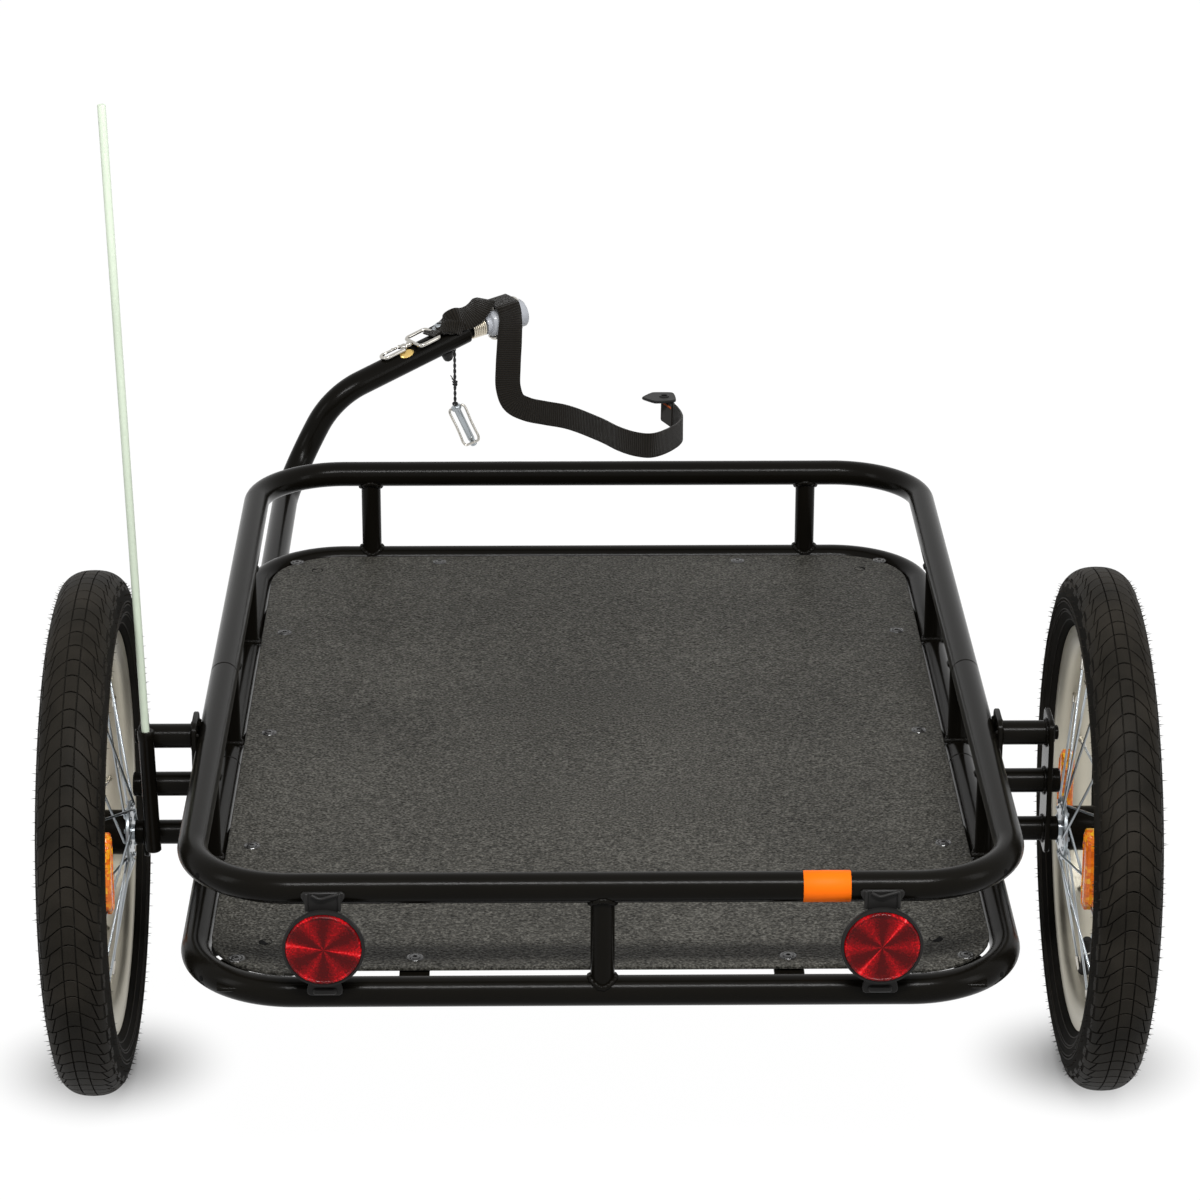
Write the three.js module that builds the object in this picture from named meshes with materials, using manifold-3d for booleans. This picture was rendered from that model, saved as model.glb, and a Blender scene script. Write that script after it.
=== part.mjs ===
// Cargo bike trailer: a flat bed between two tube rails on two 16 inch wheels, with a bent tow arm,
// a sprung hitch and a flag pole. X is to the right, Y is forward to the hitch, Z is up.
// The model is laid out with the axle line at Y = 0 and the ground at Z = 0.
import * as THREE from 'three';
import { mergeVertices } from 'three/addons/utils/BufferGeometryUtils.js';
import Module from 'manifold-3d';

const wasm = await Module();
wasm.setup();

// Clearances
const seatGap = 0.3;
const cutOverrun = 6;
const mergeTolerance = 1e-4;

// Rails: two closed loops of tube, each bent from two halves
const railRadius = 11.1;
const railHalfWidth = 298;
const railRearY = -279;
const railFrontY = 609;
const railCornerRadius = 76;
const railSeamY = 124;
const lowerRailZ = 204.5;
const upperRailZ = 286.5;

// Uprights between the loops
const uprightRadius = 8.75;
const uprightPitchY = 223.5;
const middleUprightY = 160;
const frontUprightX = 198.5;

// Deck board and what carries it
const deckThickness = 4;
const deckTopZ = 212;
const deckRailClearance = 4.5;
const deckCornerRadius = 62;
const deckDrainRadius = 4.5;
const deckDrainInset = 36;
const screwInset = 15;
const rearScrewInset = 24;
const sideScrewOffsetY = 21;
const crossScrewX = 136;
const tabWidth = 22;
const tabThickness = 3;
const tabScrewMargin = 9;
const crossTubeRadius = 9.5;
const frontCrossTubeY = 470;

// Axle brackets: two plates and three tubes on each side
const plateThickness = 4;
const plateHalfLength = 20;
const plateTopZ = 302;
const plateBottomZ = 190;
const outerPlateX = 349;
const bracketTubeRadius = 9.5;
const middleTubeZ = 246;
const tubeProtrusion = 8;

// Wheels
const wheelRadius = 205;
const wheelPlaneX = 392;
const tyreWidth = 54;
const tyreWallThickness = 4;
const rimRadius = 159;
const rimWidth = 32;
const rimWall = 2;
const rimSeatRadius = 151;
const rimBedRadius = 141;
const hubBarrelRadius = 17.5;
const hubFlangeRadius = 25;
const hubFlangeThickness = 3;
const hubFlangeOffset = 27;
const spokeRadius = 1.15;
const spokeCrossOffset = 2.2;
const spokeHoleRadius = 21.5;
const spokesPerFlange = 14;
const spokeLeadHoles = 2;
const spokeRimOffset = 4;
const bearingRadius = 13.5;
const bearingWidth = 8;
const bearingInset = 2;
const axleRadius = 6;
const axleHeadRadius = 11;
const axleHeadLength = 6;
const axleInsertion = 42;
const wheelSegments = 32;
const hubSegments = 20;

// Spoke reflectors
const spokeReflectorInnerRadius = 70;
const spokeReflectorOuterRadius = 92;
const spokeReflectorHalfAngle = 0.42;
const spokeReflectorThickness = 7;
const spokeReflectorOffset = 7;

// Round rear reflectors
const rearReflectorX = 199;
const rearReflectorZ = 248.5;
const rearReflectorRadius = 28.5;
const rearLensThickness = 5;
const rearLensRim = 1.5;
const housingThickness = 5;
const housingRim = 1.5;
const strapPlateWidth = 25;
const strapPlateThickness = 3;

// Flag pole in its socket, leaning out a little
const flagSocketRadius = 6;
const flagSocketLength = 98;
const flagSocketBottomZ = 193;
const flagSocketFloor = 5;
const flagPoleRadius = 3.15;
const flagPoleLength = 596;
const flagPoleClearance = 0.35;
const flagLean = 0.024;

// Tow arm: along the left lower rail, up, and inward to the hitch
const armRadius = 12;
const armBendRadius = 62;
const armRearY = -150;
const armFirstBendY = 890;
const armSecondBend = new THREE.Vector3(-246, 882, 270);
const armEnd = new THREE.Vector3(-117, 963, 312);
const clampHalfWidth = 17;
const clampLength = 34;
const clampWall = 4;
const clampTopRise = 16;
const rearClampY = -110;
const frontClampY = 498;

// Hitch, drooping a little from the arm's line towards this point
const hitchAim = new THREE.Vector3(-61, 996, 321);
const hitchSetOff = 1.55;
const springRadius = 9.4;
const springWireRadius = 0.85;
const springLength = 19;
const springCurls = 7;
const springStepsPerCurl = 8;
const springWireSides = 5;
const barrelRadius = 14.25;
const barrelLength = 45;
const barrelNeckRadius = 10.5;
const barrelNeckLength = 5;
const barrelChamfer = 2;
const boltShankRadius = 4;
const boltHeadRadius = 7;
const boltHeadLength = 4;
const boltSetback = 12;
const boltSpacing = 22;
const webWidth = 25;
const webThickness = 2;
const webFoldStations = 40;
const strapSetback = 9;

// Hook, ring, pin and lanyard on the tow arm
const wireRadius = 1.9;
const ringLength = 24;
const ringWidth = 30;
const hookLength = 34;
const hookWidth = 11;
const hookThroat = 11;
const gateWireRadius = 1.2;
const gateSwingGap = 0.6;
const lanyardRadius = 1.6;
const lanyardLength = 58;
const lanyardSetback = 14;
const pinRadius = 3.4;
const pinLength = 46;
const pinHeadRadius = 5;
const pinHeadLength = 5;
const bailWireRadius = 1.3;
const bailHalfWidth = 8;
const bailInset = 5;

const tubeSides = 12;
const wireSides = 8;
const bendSteps = 6;

const steelBlack = new THREE.MeshStandardMaterial({ color: 0x121212, roughness: 0.32, metalness: 0.3 });
const plasticBlack = new THREE.MeshStandardMaterial({ color: 0x2b2a28, roughness: 0.75, metalness: 0 });
const tyreRubber = new THREE.MeshStandardMaterial({ color: 0x2a2a2a, roughness: 0.85, metalness: 0 });
const rimSilver = new THREE.MeshStandardMaterial({ color: 0xc4bfb8, roughness: 0.4, metalness: 0.9 });
const zincSteel = new THREE.MeshStandardMaterial({ color: 0xb6bcc0, roughness: 0.35, metalness: 0.9 });
const webBlack = new THREE.MeshStandardMaterial({ color: 0x161616, roughness: 0.9, metalness: 0 });
const barrelGrey = new THREE.MeshStandardMaterial({ color: 0xb9bdc2, roughness: 0.5, metalness: 0.1 });
const lensRed = new THREE.MeshStandardMaterial({ color: 0x9c0a12, roughness: 0.2, metalness: 0 });
const lensOrange = new THREE.MeshStandardMaterial({ color: 0xf06a0a, roughness: 0.2, metalness: 0 });
const poleWhite = new THREE.MeshStandardMaterial({ color: 0xd5dccb, roughness: 0.4, metalness: 0 });

const trailer = new THREE.Group();

function addMesh(name, geometry, material, parent = trailer) {
  const mesh = new THREE.Mesh(geometry, material);
  mesh.name = name;
  parent.add(mesh);
  return mesh;
}

// A closed geometry as a solid that can be joined and cut
function toSolid(geometry) {
  const bare = geometry.index ? geometry.toNonIndexed() : geometry.clone();
  bare.deleteAttribute('normal');
  bare.deleteAttribute('uv');
  const merged = mergeVertices(bare, mergeTolerance);
  return new wasm.Manifold(new wasm.Mesh({
    numProp: 3,
    vertProperties: new Float32Array(merged.attributes.position.array),
    triVerts: new Uint32Array(merged.index.array),
  }));
}

function fromSolid(solid) {
  const data = solid.getMesh();
  const geometry = new THREE.BufferGeometry();
  geometry.setAttribute('position', new THREE.BufferAttribute(new Float32Array(data.vertProperties), 3));
  geometry.setIndex(new THREE.BufferAttribute(new Uint32Array(data.triVerts), 1));
  const flat = geometry.toNonIndexed();
  flat.computeVertexNormals();
  return flat;
}

function joined(geometries) {
  return geometries.map(toSolid).reduce((whole, piece) => whole.add(piece));
}

function cutBy(solid, geometries) {
  return geometries.map(toSolid).reduce((whole, piece) => whole.subtract(piece), solid);
}

// A path whose sections lie exactly at the given stations
class StationPath extends THREE.Curve {
  constructor(stations) {
    super();
    this.stations = stations;
  }

  stationAt(t) {
    return this.stations[Math.round(t * (this.stations.length - 1))];
  }

  getPoint(t) {
    return this.stationAt(t).point.clone();
  }

  getPointAt(t) {
    return this.getPoint(t);
  }

  getTangentAt(t) {
    return this.stationAt(t).tangent.clone();
  }

  computeFrenetFrames(segments, closed) {
    if (!this.stations[0].across) return super.computeFrenetFrames(segments, closed);
    return {
      tangents: this.stations.map((station) => station.tangent),
      normals: this.stations.map((station) => station.across),
      binormals: this.stations.map((station) => station.tangent.clone().cross(station.across)),
    };
  }
}

function sweep(shape, stations) {
  const geometry = new THREE.ExtrudeGeometry(shape, {
    steps: stations.length - 1,
    extrudePath: new StationPath(stations),
    bevelEnabled: false,
  });
  return geometry;
}

function polygonShape(radius, sides) {
  const corners = [];
  for (let i = 0; i < sides; i += 1) {
    const angle = (2 * Math.PI * i) / sides;
    corners.push(new THREE.Vector2(radius * Math.cos(angle), radius * Math.sin(angle)));
  }
  return new THREE.Shape(corners);
}

function rectangleShape(width, height) {
  return new THREE.Shape([
    new THREE.Vector2(-width / 2, -height / 2),
    new THREE.Vector2(width / 2, -height / 2),
    new THREE.Vector2(width / 2, height / 2),
    new THREE.Vector2(-width / 2, height / 2),
  ]);
}

// Stations along straight runs with an arc of the bend radius at each inner corner
function bentStations(corners, bendRadius) {
  const last = corners.length - 1;
  const direction = (i) => corners[i + 1].clone().sub(corners[i]).normalize();
  const stations = [{ point: corners[0].clone(), tangent: direction(0) }];
  for (let i = 1; i < last; i += 1) {
    const entry = direction(i - 1);
    const exit = direction(i);
    const turn = entry.angleTo(exit);
    const side = exit.clone().addScaledVector(entry, -entry.dot(exit)).normalize();
    const start = corners[i].clone().addScaledVector(entry, -bendRadius * Math.tan(turn / 2));
    for (let step = 0; step <= bendSteps; step += 1) {
      const angle = (turn * step) / bendSteps;
      stations.push({
        point: start.clone()
          .addScaledVector(entry, bendRadius * Math.sin(angle))
          .addScaledVector(side, bendRadius * (1 - Math.cos(angle))),
        tangent: entry.clone().multiplyScalar(Math.cos(angle)).addScaledVector(side, Math.sin(angle)),
      });
    }
  }
  stations.push({ point: corners[last].clone(), tangent: direction(last - 1) });
  return stations;
}

function bentTube(corners, bendRadius, radius, sides = tubeSides) {
  return sweep(polygonShape(radius, sides), bentStations(corners, bendRadius));
}

function straightTube(start, end, radius, sides = tubeSides) {
  return bentTube([start, end], 0, radius, sides);
}

function point(x, y, z) {
  return new THREE.Vector3(x, y, z);
}

// A turned piece about the X axis from an outline of [position along the axis, radius]
function turned(outline, segments) {
  const area = outline.reduce((sum, [x, r], i) => {
    const [nextX, nextR] = outline[(i + 1) % outline.length];
    return sum + r * nextX - nextR * x;
  }, 0);
  const ordered = area > 0 ? outline : [...outline].reverse();
  const profile = ordered.map(([x, r]) => new THREE.Vector2(r, x));
  if (ordered.every(([, r]) => r > 0)) profile.push(profile[0].clone());
  return new THREE.LatheGeometry(profile, segments).rotateZ(-Math.PI / 2);
}

function block(low, high) {
  const size = high.clone().sub(low);
  const middle = high.clone().add(low).multiplyScalar(1 / 2);
  return new THREE.BoxGeometry(size.x, size.y, size.z).translate(middle.x, middle.y, middle.z);
}

// Rails
function railHalf(endY, z) {
  return bentTube([
    point(-railHalfWidth, railSeamY + Math.sign(endY - railSeamY) * (seatGap / 2), z),
    point(-railHalfWidth, endY, z),
    point(railHalfWidth, endY, z),
    point(railHalfWidth, railSeamY + Math.sign(endY - railSeamY) * (seatGap / 2), z),
  ], railCornerRadius, railRadius);
}

const deckHalfWidth = railHalfWidth - railRadius - deckRailClearance;
const deckRearY = railRearY + railRadius + deckRailClearance;
const deckFrontY = railFrontY - railRadius - deckRailClearance;
const deckBottomZ = deckTopZ - deckThickness;
const tabTopZ = deckBottomZ - seatGap;
const sideScrewX = deckHalfWidth - screwInset;
const rearScrewY = deckRearY + rearScrewInset;
const frontScrewY = deckFrontY - screwInset + seatGap;

// A flat tab welded inside the rail, reaching in from the rail's line to just past its screw
function deckTab(x, y, inward) {
  const reach = Math.abs(inward.x) * (railHalfWidth - Math.abs(x))
    + (inward.y > 0 ? inward.y * (y - railRearY) : -inward.y * (railFrontY - y));
  const length = reach + tabScrewMargin;
  const tab = new THREE.BoxGeometry(length, tabWidth, tabThickness);
  tab.translate(tabScrewMargin - length / 2, 0, tabTopZ - tabThickness / 2);
  tab.rotateZ(Math.atan2(inward.y, inward.x));
  return tab.translate(x, y, 0);
}

const sideScrewYs = [-1, 0, 1].map((row) => middleUprightY + sideScrewOffsetY + row * uprightPitchY);
const crossScrewXs = [-sideScrewX, -crossScrewX, crossScrewX, sideScrewX];

function deckTabs(isFront) {
  const tabs = [];
  for (const y of sideScrewYs.filter((screwY) => screwY > railSeamY === isFront)) {
    tabs.push(deckTab(-sideScrewX, y, { x: 1, y: 0 }), deckTab(sideScrewX, y, { x: -1, y: 0 }));
  }
  for (const x of crossScrewXs) {
    tabs.push(isFront ? deckTab(x, frontScrewY, { x: 0, y: -1 }) : deckTab(x, rearScrewY, { x: 0, y: 1 }));
  }
  return tabs;
}

addMesh('upper_rail_front', railHalf(railFrontY, upperRailZ), steelBlack);
addMesh('upper_rail_rear', railHalf(railRearY, upperRailZ), steelBlack);
addMesh('lower_rail_front', fromSolid(joined([railHalf(railFrontY, lowerRailZ), ...deckTabs(true)])), steelBlack);
addMesh('lower_rail_rear', fromSolid(joined([railHalf(railRearY, lowerRailZ), ...deckTabs(false)])), steelBlack);

// A straight stretch of rail, grown by the seat gap, that shapes the end of a tube set against it
function sideRailCutter(side, z) {
  return straightTube(
    point(side * railHalfWidth, railRearY, z),
    point(side * railHalfWidth, railFrontY, z),
    railRadius + seatGap,
  );
}

function endRailCutter(y, z) {
  return straightTube(point(-railHalfWidth, y, z), point(railHalfWidth, y, z), railRadius + seatGap);
}

// Uprights
function upright(x, y, cutters) {
  const post = toSolid(straightTube(point(x, y, lowerRailZ), point(x, y, upperRailZ), uprightRadius));
  return fromSolid(cutBy(post, cutters));
}

for (const [name, x, y] of [
  ['front_upright_left', -frontUprightX, railFrontY],
  ['front_upright_right', frontUprightX, railFrontY],
  ['rear_upright', 0, railRearY],
]) {
  addMesh(name, upright(x, y, [endRailCutter(y, lowerRailZ), endRailCutter(y, upperRailZ)]), steelBlack);
}
for (const [sideName, side] of [['left', -1], ['right', 1]]) {
  for (const [rowName, row] of [['rear', -1], ['middle', 0], ['front', 1]]) {
    const cutters = [sideRailCutter(side, lowerRailZ), sideRailCutter(side, upperRailZ)];
    const post = upright(side * railHalfWidth, middleUprightY + row * uprightPitchY, cutters);
    addMesh(`${sideName}_upright_${rowName}`, post, steelBlack);
  }
}

// Deck
function roundedOutline(halfWidth, rearY, frontY, radius) {
  const shape = new THREE.Shape();
  shape.moveTo(-halfWidth + radius, rearY);
  shape.lineTo(halfWidth - radius, rearY);
  shape.absarc(halfWidth - radius, rearY + radius, radius, -Math.PI / 2, 0, false);
  shape.absarc(halfWidth - radius, frontY - radius, radius, 0, Math.PI / 2, false);
  shape.absarc(-halfWidth + radius, frontY - radius, radius, Math.PI / 2, Math.PI, false);
  shape.absarc(-halfWidth + radius, rearY + radius, radius, Math.PI, 3 * (Math.PI / 2), false);
  return shape;
}

const deckShape = roundedOutline(deckHalfWidth, deckRearY, deckFrontY, deckCornerRadius);
for (const x of [-deckHalfWidth + deckDrainInset, deckHalfWidth - deckDrainInset]) {
  for (const y of [deckRearY + deckDrainInset + screwInset, deckFrontY - deckDrainInset]) {
    const hole = new THREE.Path();
    hole.absarc(x, y, deckDrainRadius, 0, 2 * Math.PI, true);
    deckShape.holes.push(hole);
  }
}
const deckGeometry = new THREE.ExtrudeGeometry(deckShape, {
  depth: deckThickness,
  bevelEnabled: false,
  curveSegments: bendSteps,
}).translate(0, 0, deckBottomZ);
addMesh('deck_board', deckGeometry, plasticBlack);

const armX = -railHalfWidth + armRadius / 2;
const armZ = lowerRailZ - railRadius - seatGap - armRadius;
const armCutter = straightTube(
  point(armX, railRearY, armZ),
  point(armX, railFrontY, armZ),
  armRadius + seatGap,
);
const crossTubeZ = deckBottomZ - seatGap - crossTubeRadius / Math.cos(Math.PI / tubeSides);
for (const [name, y] of [['cross_tube_rear', 0], ['cross_tube_front', frontCrossTubeY]]) {
  const tube = toSolid(straightTube(
    point(-railHalfWidth + railRadius / 2, y, crossTubeZ),
    point(railHalfWidth - railRadius / 2, y, crossTubeZ),
    crossTubeRadius,
  ));
  const cutters = [sideRailCutter(-1, lowerRailZ), sideRailCutter(1, lowerRailZ), armCutter];
  addMesh(name, fromSolid(cutBy(tube, cutters)), steelBlack);
}

// Axle brackets
const innerPlateX = railHalfWidth + railRadius + seatGap;
const tubeEndX = outerPlateX + plateThickness + tubeProtrusion;

function plate(nearX) {
  return block(point(nearX, -plateHalfLength, plateBottomZ), point(nearX + plateThickness, plateHalfLength, plateTopZ));
}

function bracket(side) {
  const tubes = [upperRailZ, middleTubeZ, wheelRadius].map((z) => straightTube(
    point(innerPlateX + plateThickness / 2, 0, z),
    point(z === upperRailZ ? outerPlateX + plateThickness / 2 : tubeEndX, 0, z),
    bracketTubeRadius,
  ));
  const axleBore = straightTube(
    point(innerPlateX - cutOverrun, 0, wheelRadius),
    point(tubeEndX + cutOverrun, 0, wheelRadius),
    axleRadius + seatGap,
  );
  const whole = cutBy(joined([plate(innerPlateX), plate(outerPlateX), ...tubes]), [axleBore]);
  return fromSolid(whole).rotateZ(side < 0 ? Math.PI : 0);
}

addMesh('left_axle_bracket', bracket(-1), steelBlack);
addMesh('right_axle_bracket', bracket(1), steelBlack);

// Wheels, turned about X with the outboard side at +X
const beadRadius = rimSeatRadius + seatGap;
const beadHalfWidth = rimWidth / 2 - rimWall - seatGap;
const tyreHalfWidth = tyreWidth / 2;
const tyreHeight = wheelRadius - beadRadius;
const tyreOuterShares = [[0, 1], [0.5, 0.975], [0.86, 0.86], [1, 0.56], [0.82, 0.25]];
const tyreOuter = tyreOuterShares.map(([xShare, rShare]) => [xShare * tyreHalfWidth, beadRadius + rShare * tyreHeight]);
const tyreSide = [...tyreOuter, [beadHalfWidth, rimRadius + seatGap], [beadHalfWidth, beadRadius]];
const tyreInner = [
  [beadHalfWidth - tyreWallThickness, beadRadius],
  [beadHalfWidth - tyreWallThickness, rimRadius],
  ...[...tyreOuter].reverse().slice(1, -2).map(([x, r]) => [
    x * (1 - tyreWallThickness / tyreHalfWidth),
    beadRadius + (r - beadRadius) * (1 - tyreWallThickness / tyreHeight),
  ]),
];

function mirroredOutline(half) {
  const otherHalf = half.filter(([x]) => x > 0).map(([x, r]) => [-x, r]).reverse();
  return [...half, ...otherHalf];
}

const tyreHalf = [
  ...tyreSide,
  ...tyreInner,
];
const tyreOutline = [
  ...tyreHalf.filter(([x]) => x > 0),
  [0, wheelRadius - tyreWallThickness],
  ...tyreHalf.filter(([x]) => x > 0).map(([x, r]) => [-x, r]).reverse(),
  [0, wheelRadius],
];
const rimOuterHalf = [
  [rimWidth / 2, rimRadius],
  [rimWidth / 2, rimSeatRadius - rimWall],
  [rimWidth / 2 - 2 * rimWall, rimBedRadius + rimWall],
  [0, rimBedRadius],
];
const rimInnerHalf = [
  [0, rimBedRadius + 2 * rimWall],
  [rimWidth / 2 - 3 * rimWall, rimSeatRadius - rimWall],
  [rimWidth / 2 - rimWall, rimSeatRadius],
  [rimWidth / 2 - rimWall, rimRadius],
];
const rimOutline = [
  ...rimOuterHalf,
  ...rimOuterHalf.slice(0, -1).map(([x, r]) => [-x, r]).reverse(),
  ...rimInnerHalf.slice(1).map(([x, r]) => [-x, r]).reverse(),
  ...rimInnerHalf,
];
const bearingOuterX = hubFlangeOffset + hubFlangeThickness / 2 - bearingInset;
const hubBoreRadius = bearingRadius + seatGap;
const hubOutline = mirroredOutline([
  [hubFlangeOffset - hubFlangeThickness / 2 - seatGap, hubBarrelRadius],
  [hubFlangeOffset - hubFlangeThickness / 2 - seatGap, hubBoreRadius],
]);
const flangeHubRadius = hubBoreRadius;

function flangeAndSpokes(side) {
  const flange = turned([
    [side * (hubFlangeOffset - hubFlangeThickness / 2), flangeHubRadius],
    [side * (hubFlangeOffset - hubFlangeThickness / 2), hubFlangeRadius],
    [side * (hubFlangeOffset + hubFlangeThickness / 2), hubFlangeRadius],
    [side * (hubFlangeOffset + hubFlangeThickness / 2), flangeHubRadius],
  ], hubSegments);
  const step = (2 * Math.PI) / spokesPerFlange;
  const phase = side > 0 ? step / 2 : 0;
  const spokes = [];
  for (let hole = 0; hole < spokesPerFlange; hole += 1) {
    const holeAngle = hole * step + phase / 2;
    const lead = (hole % 2 === 0 ? 1 : -1) * spokeLeadHoles * step;
    const rimAngle = holeAngle + lead;
    const inner = point(
      side * hubFlangeOffset + Math.sign(lead) * spokeCrossOffset,
      spokeHoleRadius * Math.cos(holeAngle),
      spokeHoleRadius * Math.sin(holeAngle),
    );
    const outer = point(
      side * spokeRimOffset,
      rimBedRadius * Math.cos(Math.PI / wheelSegments) * Math.cos(rimAngle),
      rimBedRadius * Math.cos(Math.PI / wheelSegments) * Math.sin(rimAngle),
    );
    spokes.push(straightTube(inner, outer, spokeRadius, 4));
  }
  return fromSolid(joined([flange, ...spokes]));
}

function spokeReflector(angle) {
  const shape = new THREE.Shape();
  shape.absarc(0, 0, spokeReflectorOuterRadius, angle - spokeReflectorHalfAngle, angle + spokeReflectorHalfAngle, false);
  shape.absarc(0, 0, spokeReflectorInnerRadius, angle + spokeReflectorHalfAngle, angle - spokeReflectorHalfAngle, true);
  const geometry = new THREE.ExtrudeGeometry(shape, {
    depth: spokeReflectorThickness,
    bevelEnabled: false,
    curveSegments: bendSteps,
  });
  geometry.rotateY(Math.PI / 2).rotateX(Math.PI / 2);
  return geometry.translate(-spokeReflectorOffset - spokeReflectorThickness / 2, 0, 0);
}

function bearing(side) {
  const near = side * (bearingOuterX - bearingWidth);
  const far = side * bearingOuterX;
  const bore = axleRadius + seatGap;
  return turned([[near, bore], [near, bearingRadius], [far, bearingRadius], [far, bore]], hubSegments);
}

for (const [sideName, side] of [['left', -1], ['right', 1]]) {
  const wheel = new THREE.Group();
  wheel.position.set(side * wheelPlaneX, 0, wheelRadius);
  wheel.rotation.z = side < 0 ? Math.PI : 0;
  trailer.add(wheel);
  addMesh(`${sideName}_tyre`, turned(tyreOutline, wheelSegments), tyreRubber, wheel);
  addMesh(`${sideName}_rim`, turned(rimOutline, wheelSegments), rimSilver, wheel);
  addMesh(`${sideName}_hub_shell`, turned(hubOutline, hubSegments), steelBlack, wheel);
  addMesh(`${sideName}_inboard_spokes`, flangeAndSpokes(-1), zincSteel, wheel);
  addMesh(`${sideName}_outboard_spokes`, flangeAndSpokes(1), zincSteel, wheel);
  addMesh(`${sideName}_inboard_bearing`, bearing(-1), zincSteel, wheel);
  addMesh(`${sideName}_outboard_bearing`, bearing(1), zincSteel, wheel);
  addMesh(`${sideName}_wheel_reflector_front`, spokeReflector(side < 0 ? Math.PI : 0), lensOrange, wheel);
  addMesh(`${sideName}_wheel_reflector_rear`, spokeReflector(side < 0 ? 0 : Math.PI), lensOrange, wheel);
  const headX = hubFlangeOffset + hubFlangeThickness / 2 + seatGap;
  const axleInnerX = tubeEndX - axleInsertion - wheelPlaneX;
  addMesh(`${sideName}_axle`, turned([
    [axleInnerX, 0],
    [axleInnerX, axleRadius],
    [headX, axleRadius],
    [headX, axleHeadRadius],
    [headX + axleHeadLength, axleHeadRadius],
    [headX + axleHeadLength, 0],
  ], tubeSides), zincSteel, wheel);
}

// Round rear reflectors on strap plates behind the rails
const strapPlateY = railRearY - railRadius - seatGap;
for (const [sideName, side] of [['left', -1], ['right', 1]]) {
  const x = side * rearReflectorX;
  const strip = block(
    point(x - strapPlateWidth / 2, strapPlateY - strapPlateThickness, lowerRailZ),
    point(x + strapPlateWidth / 2, strapPlateY, upperRailZ),
  );
  const cup = turned([
    [0, 0],
    [0, rearReflectorRadius - housingRim],
    [housingThickness, rearReflectorRadius - housingRim],
    [housingThickness, 0],
  ], hubSegments).rotateZ(-Math.PI / 2).translate(x, strapPlateY - strapPlateThickness / 2, rearReflectorZ);
  addMesh(`${sideName}_rear_reflector_housing`, fromSolid(joined([strip, cup])), plasticBlack);
  const lens = turned([
    [0, 0],
    [0, rearReflectorRadius],
    [rearLensThickness - rearLensRim, rearReflectorRadius],
    [rearLensThickness, rearReflectorRadius - rearLensRim],
    [rearLensThickness, 0],
  ], hubSegments).rotateZ(-Math.PI / 2);
  const lensY = strapPlateY - strapPlateThickness / 2 - housingThickness - seatGap;
  addMesh(`${sideName}_rear_reflector_lens`, lens.translate(x, lensY, rearReflectorZ), lensRed);
}

// Flag pole and socket, upright along Z and then leaned out about their foot
const flag = new THREE.Group();
const flagX = -(outerPlateX + plateThickness / 2);
const flagY = -plateHalfLength - seatGap - flagSocketRadius;
flag.position.set(flagX, flagY, flagSocketBottomZ);
flag.rotation.y = -flagLean;
trailer.add(flag);
const poleBoreRadius = flagPoleRadius + flagPoleClearance;
const socket = turned([
  [0, 0],
  [0, flagSocketRadius],
  [flagSocketLength, flagSocketRadius],
  [flagSocketLength, poleBoreRadius],
  [flagSocketFloor, poleBoreRadius],
  [flagSocketFloor, 0],
], tubeSides).rotateY(-Math.PI / 2);
addMesh('flag_socket', socket, steelBlack, flag);
const pole = turned([
  [flagSocketFloor + seatGap, 0],
  [flagSocketFloor + seatGap, flagPoleRadius],
  [flagSocketFloor + flagPoleLength, flagPoleRadius],
  [flagSocketFloor + flagPoleLength, 0],
], tubeSides).rotateY(-Math.PI / 2);
addMesh('flag_pole', pole, poleWhite, flag);

// Tow arm
const armCorners = [
  point(armX, armRearY, armZ),
  point(armX, armFirstBendY, armZ),
  armSecondBend,
  armEnd,
];
addMesh('tow_arm', bentTube(armCorners, armBendRadius, armRadius), steelBlack);

for (const [name, y] of [['tow_arm_clamp_rear', rearClampY], ['tow_arm_clamp_front', frontClampY]]) {
  const body = toSolid(block(
    point(armX - clampHalfWidth, y - clampLength / 2, armZ - armRadius - clampWall),
    point(armX + clampHalfWidth, y + clampLength / 2, armZ + clampTopRise),
  ));
  const armBore = straightTube(
    point(armX, y - clampLength, armZ),
    point(armX, y + clampLength, armZ),
    armRadius + seatGap,
  );
  addMesh(name, fromSolid(cutBy(body, [armBore, sideRailCutter(-1, lowerRailZ)])), steelBlack);
}

// Hitch, laid out along +X from the arm's end and then turned onto its line
const armLine = armEnd.clone().sub(armSecondBend).normalize();
const levelSide = point(0, 0, 1).cross(armLine).normalize();
const lineUp = armLine.clone().cross(levelSide);
const onArm = new THREE.Group();
onArm.applyMatrix4(new THREE.Matrix4().makeBasis(armLine, levelSide, lineUp).setPosition(armEnd));
trailer.add(onArm);
const hitchStart = armEnd.clone().addScaledVector(armLine, hitchSetOff);
const hitchLine = hitchAim.clone().sub(hitchStart).normalize();
const hitchSide = point(0, 0, 1).cross(hitchLine).normalize();
const hitchUp = hitchLine.clone().cross(hitchSide);
const hitchMatrix = new THREE.Matrix4().makeBasis(hitchLine, hitchSide, hitchUp).setPosition(hitchStart);
const onHitch = new THREE.Group();
onHitch.applyMatrix4(hitchMatrix);
trailer.add(onHitch);

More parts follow.
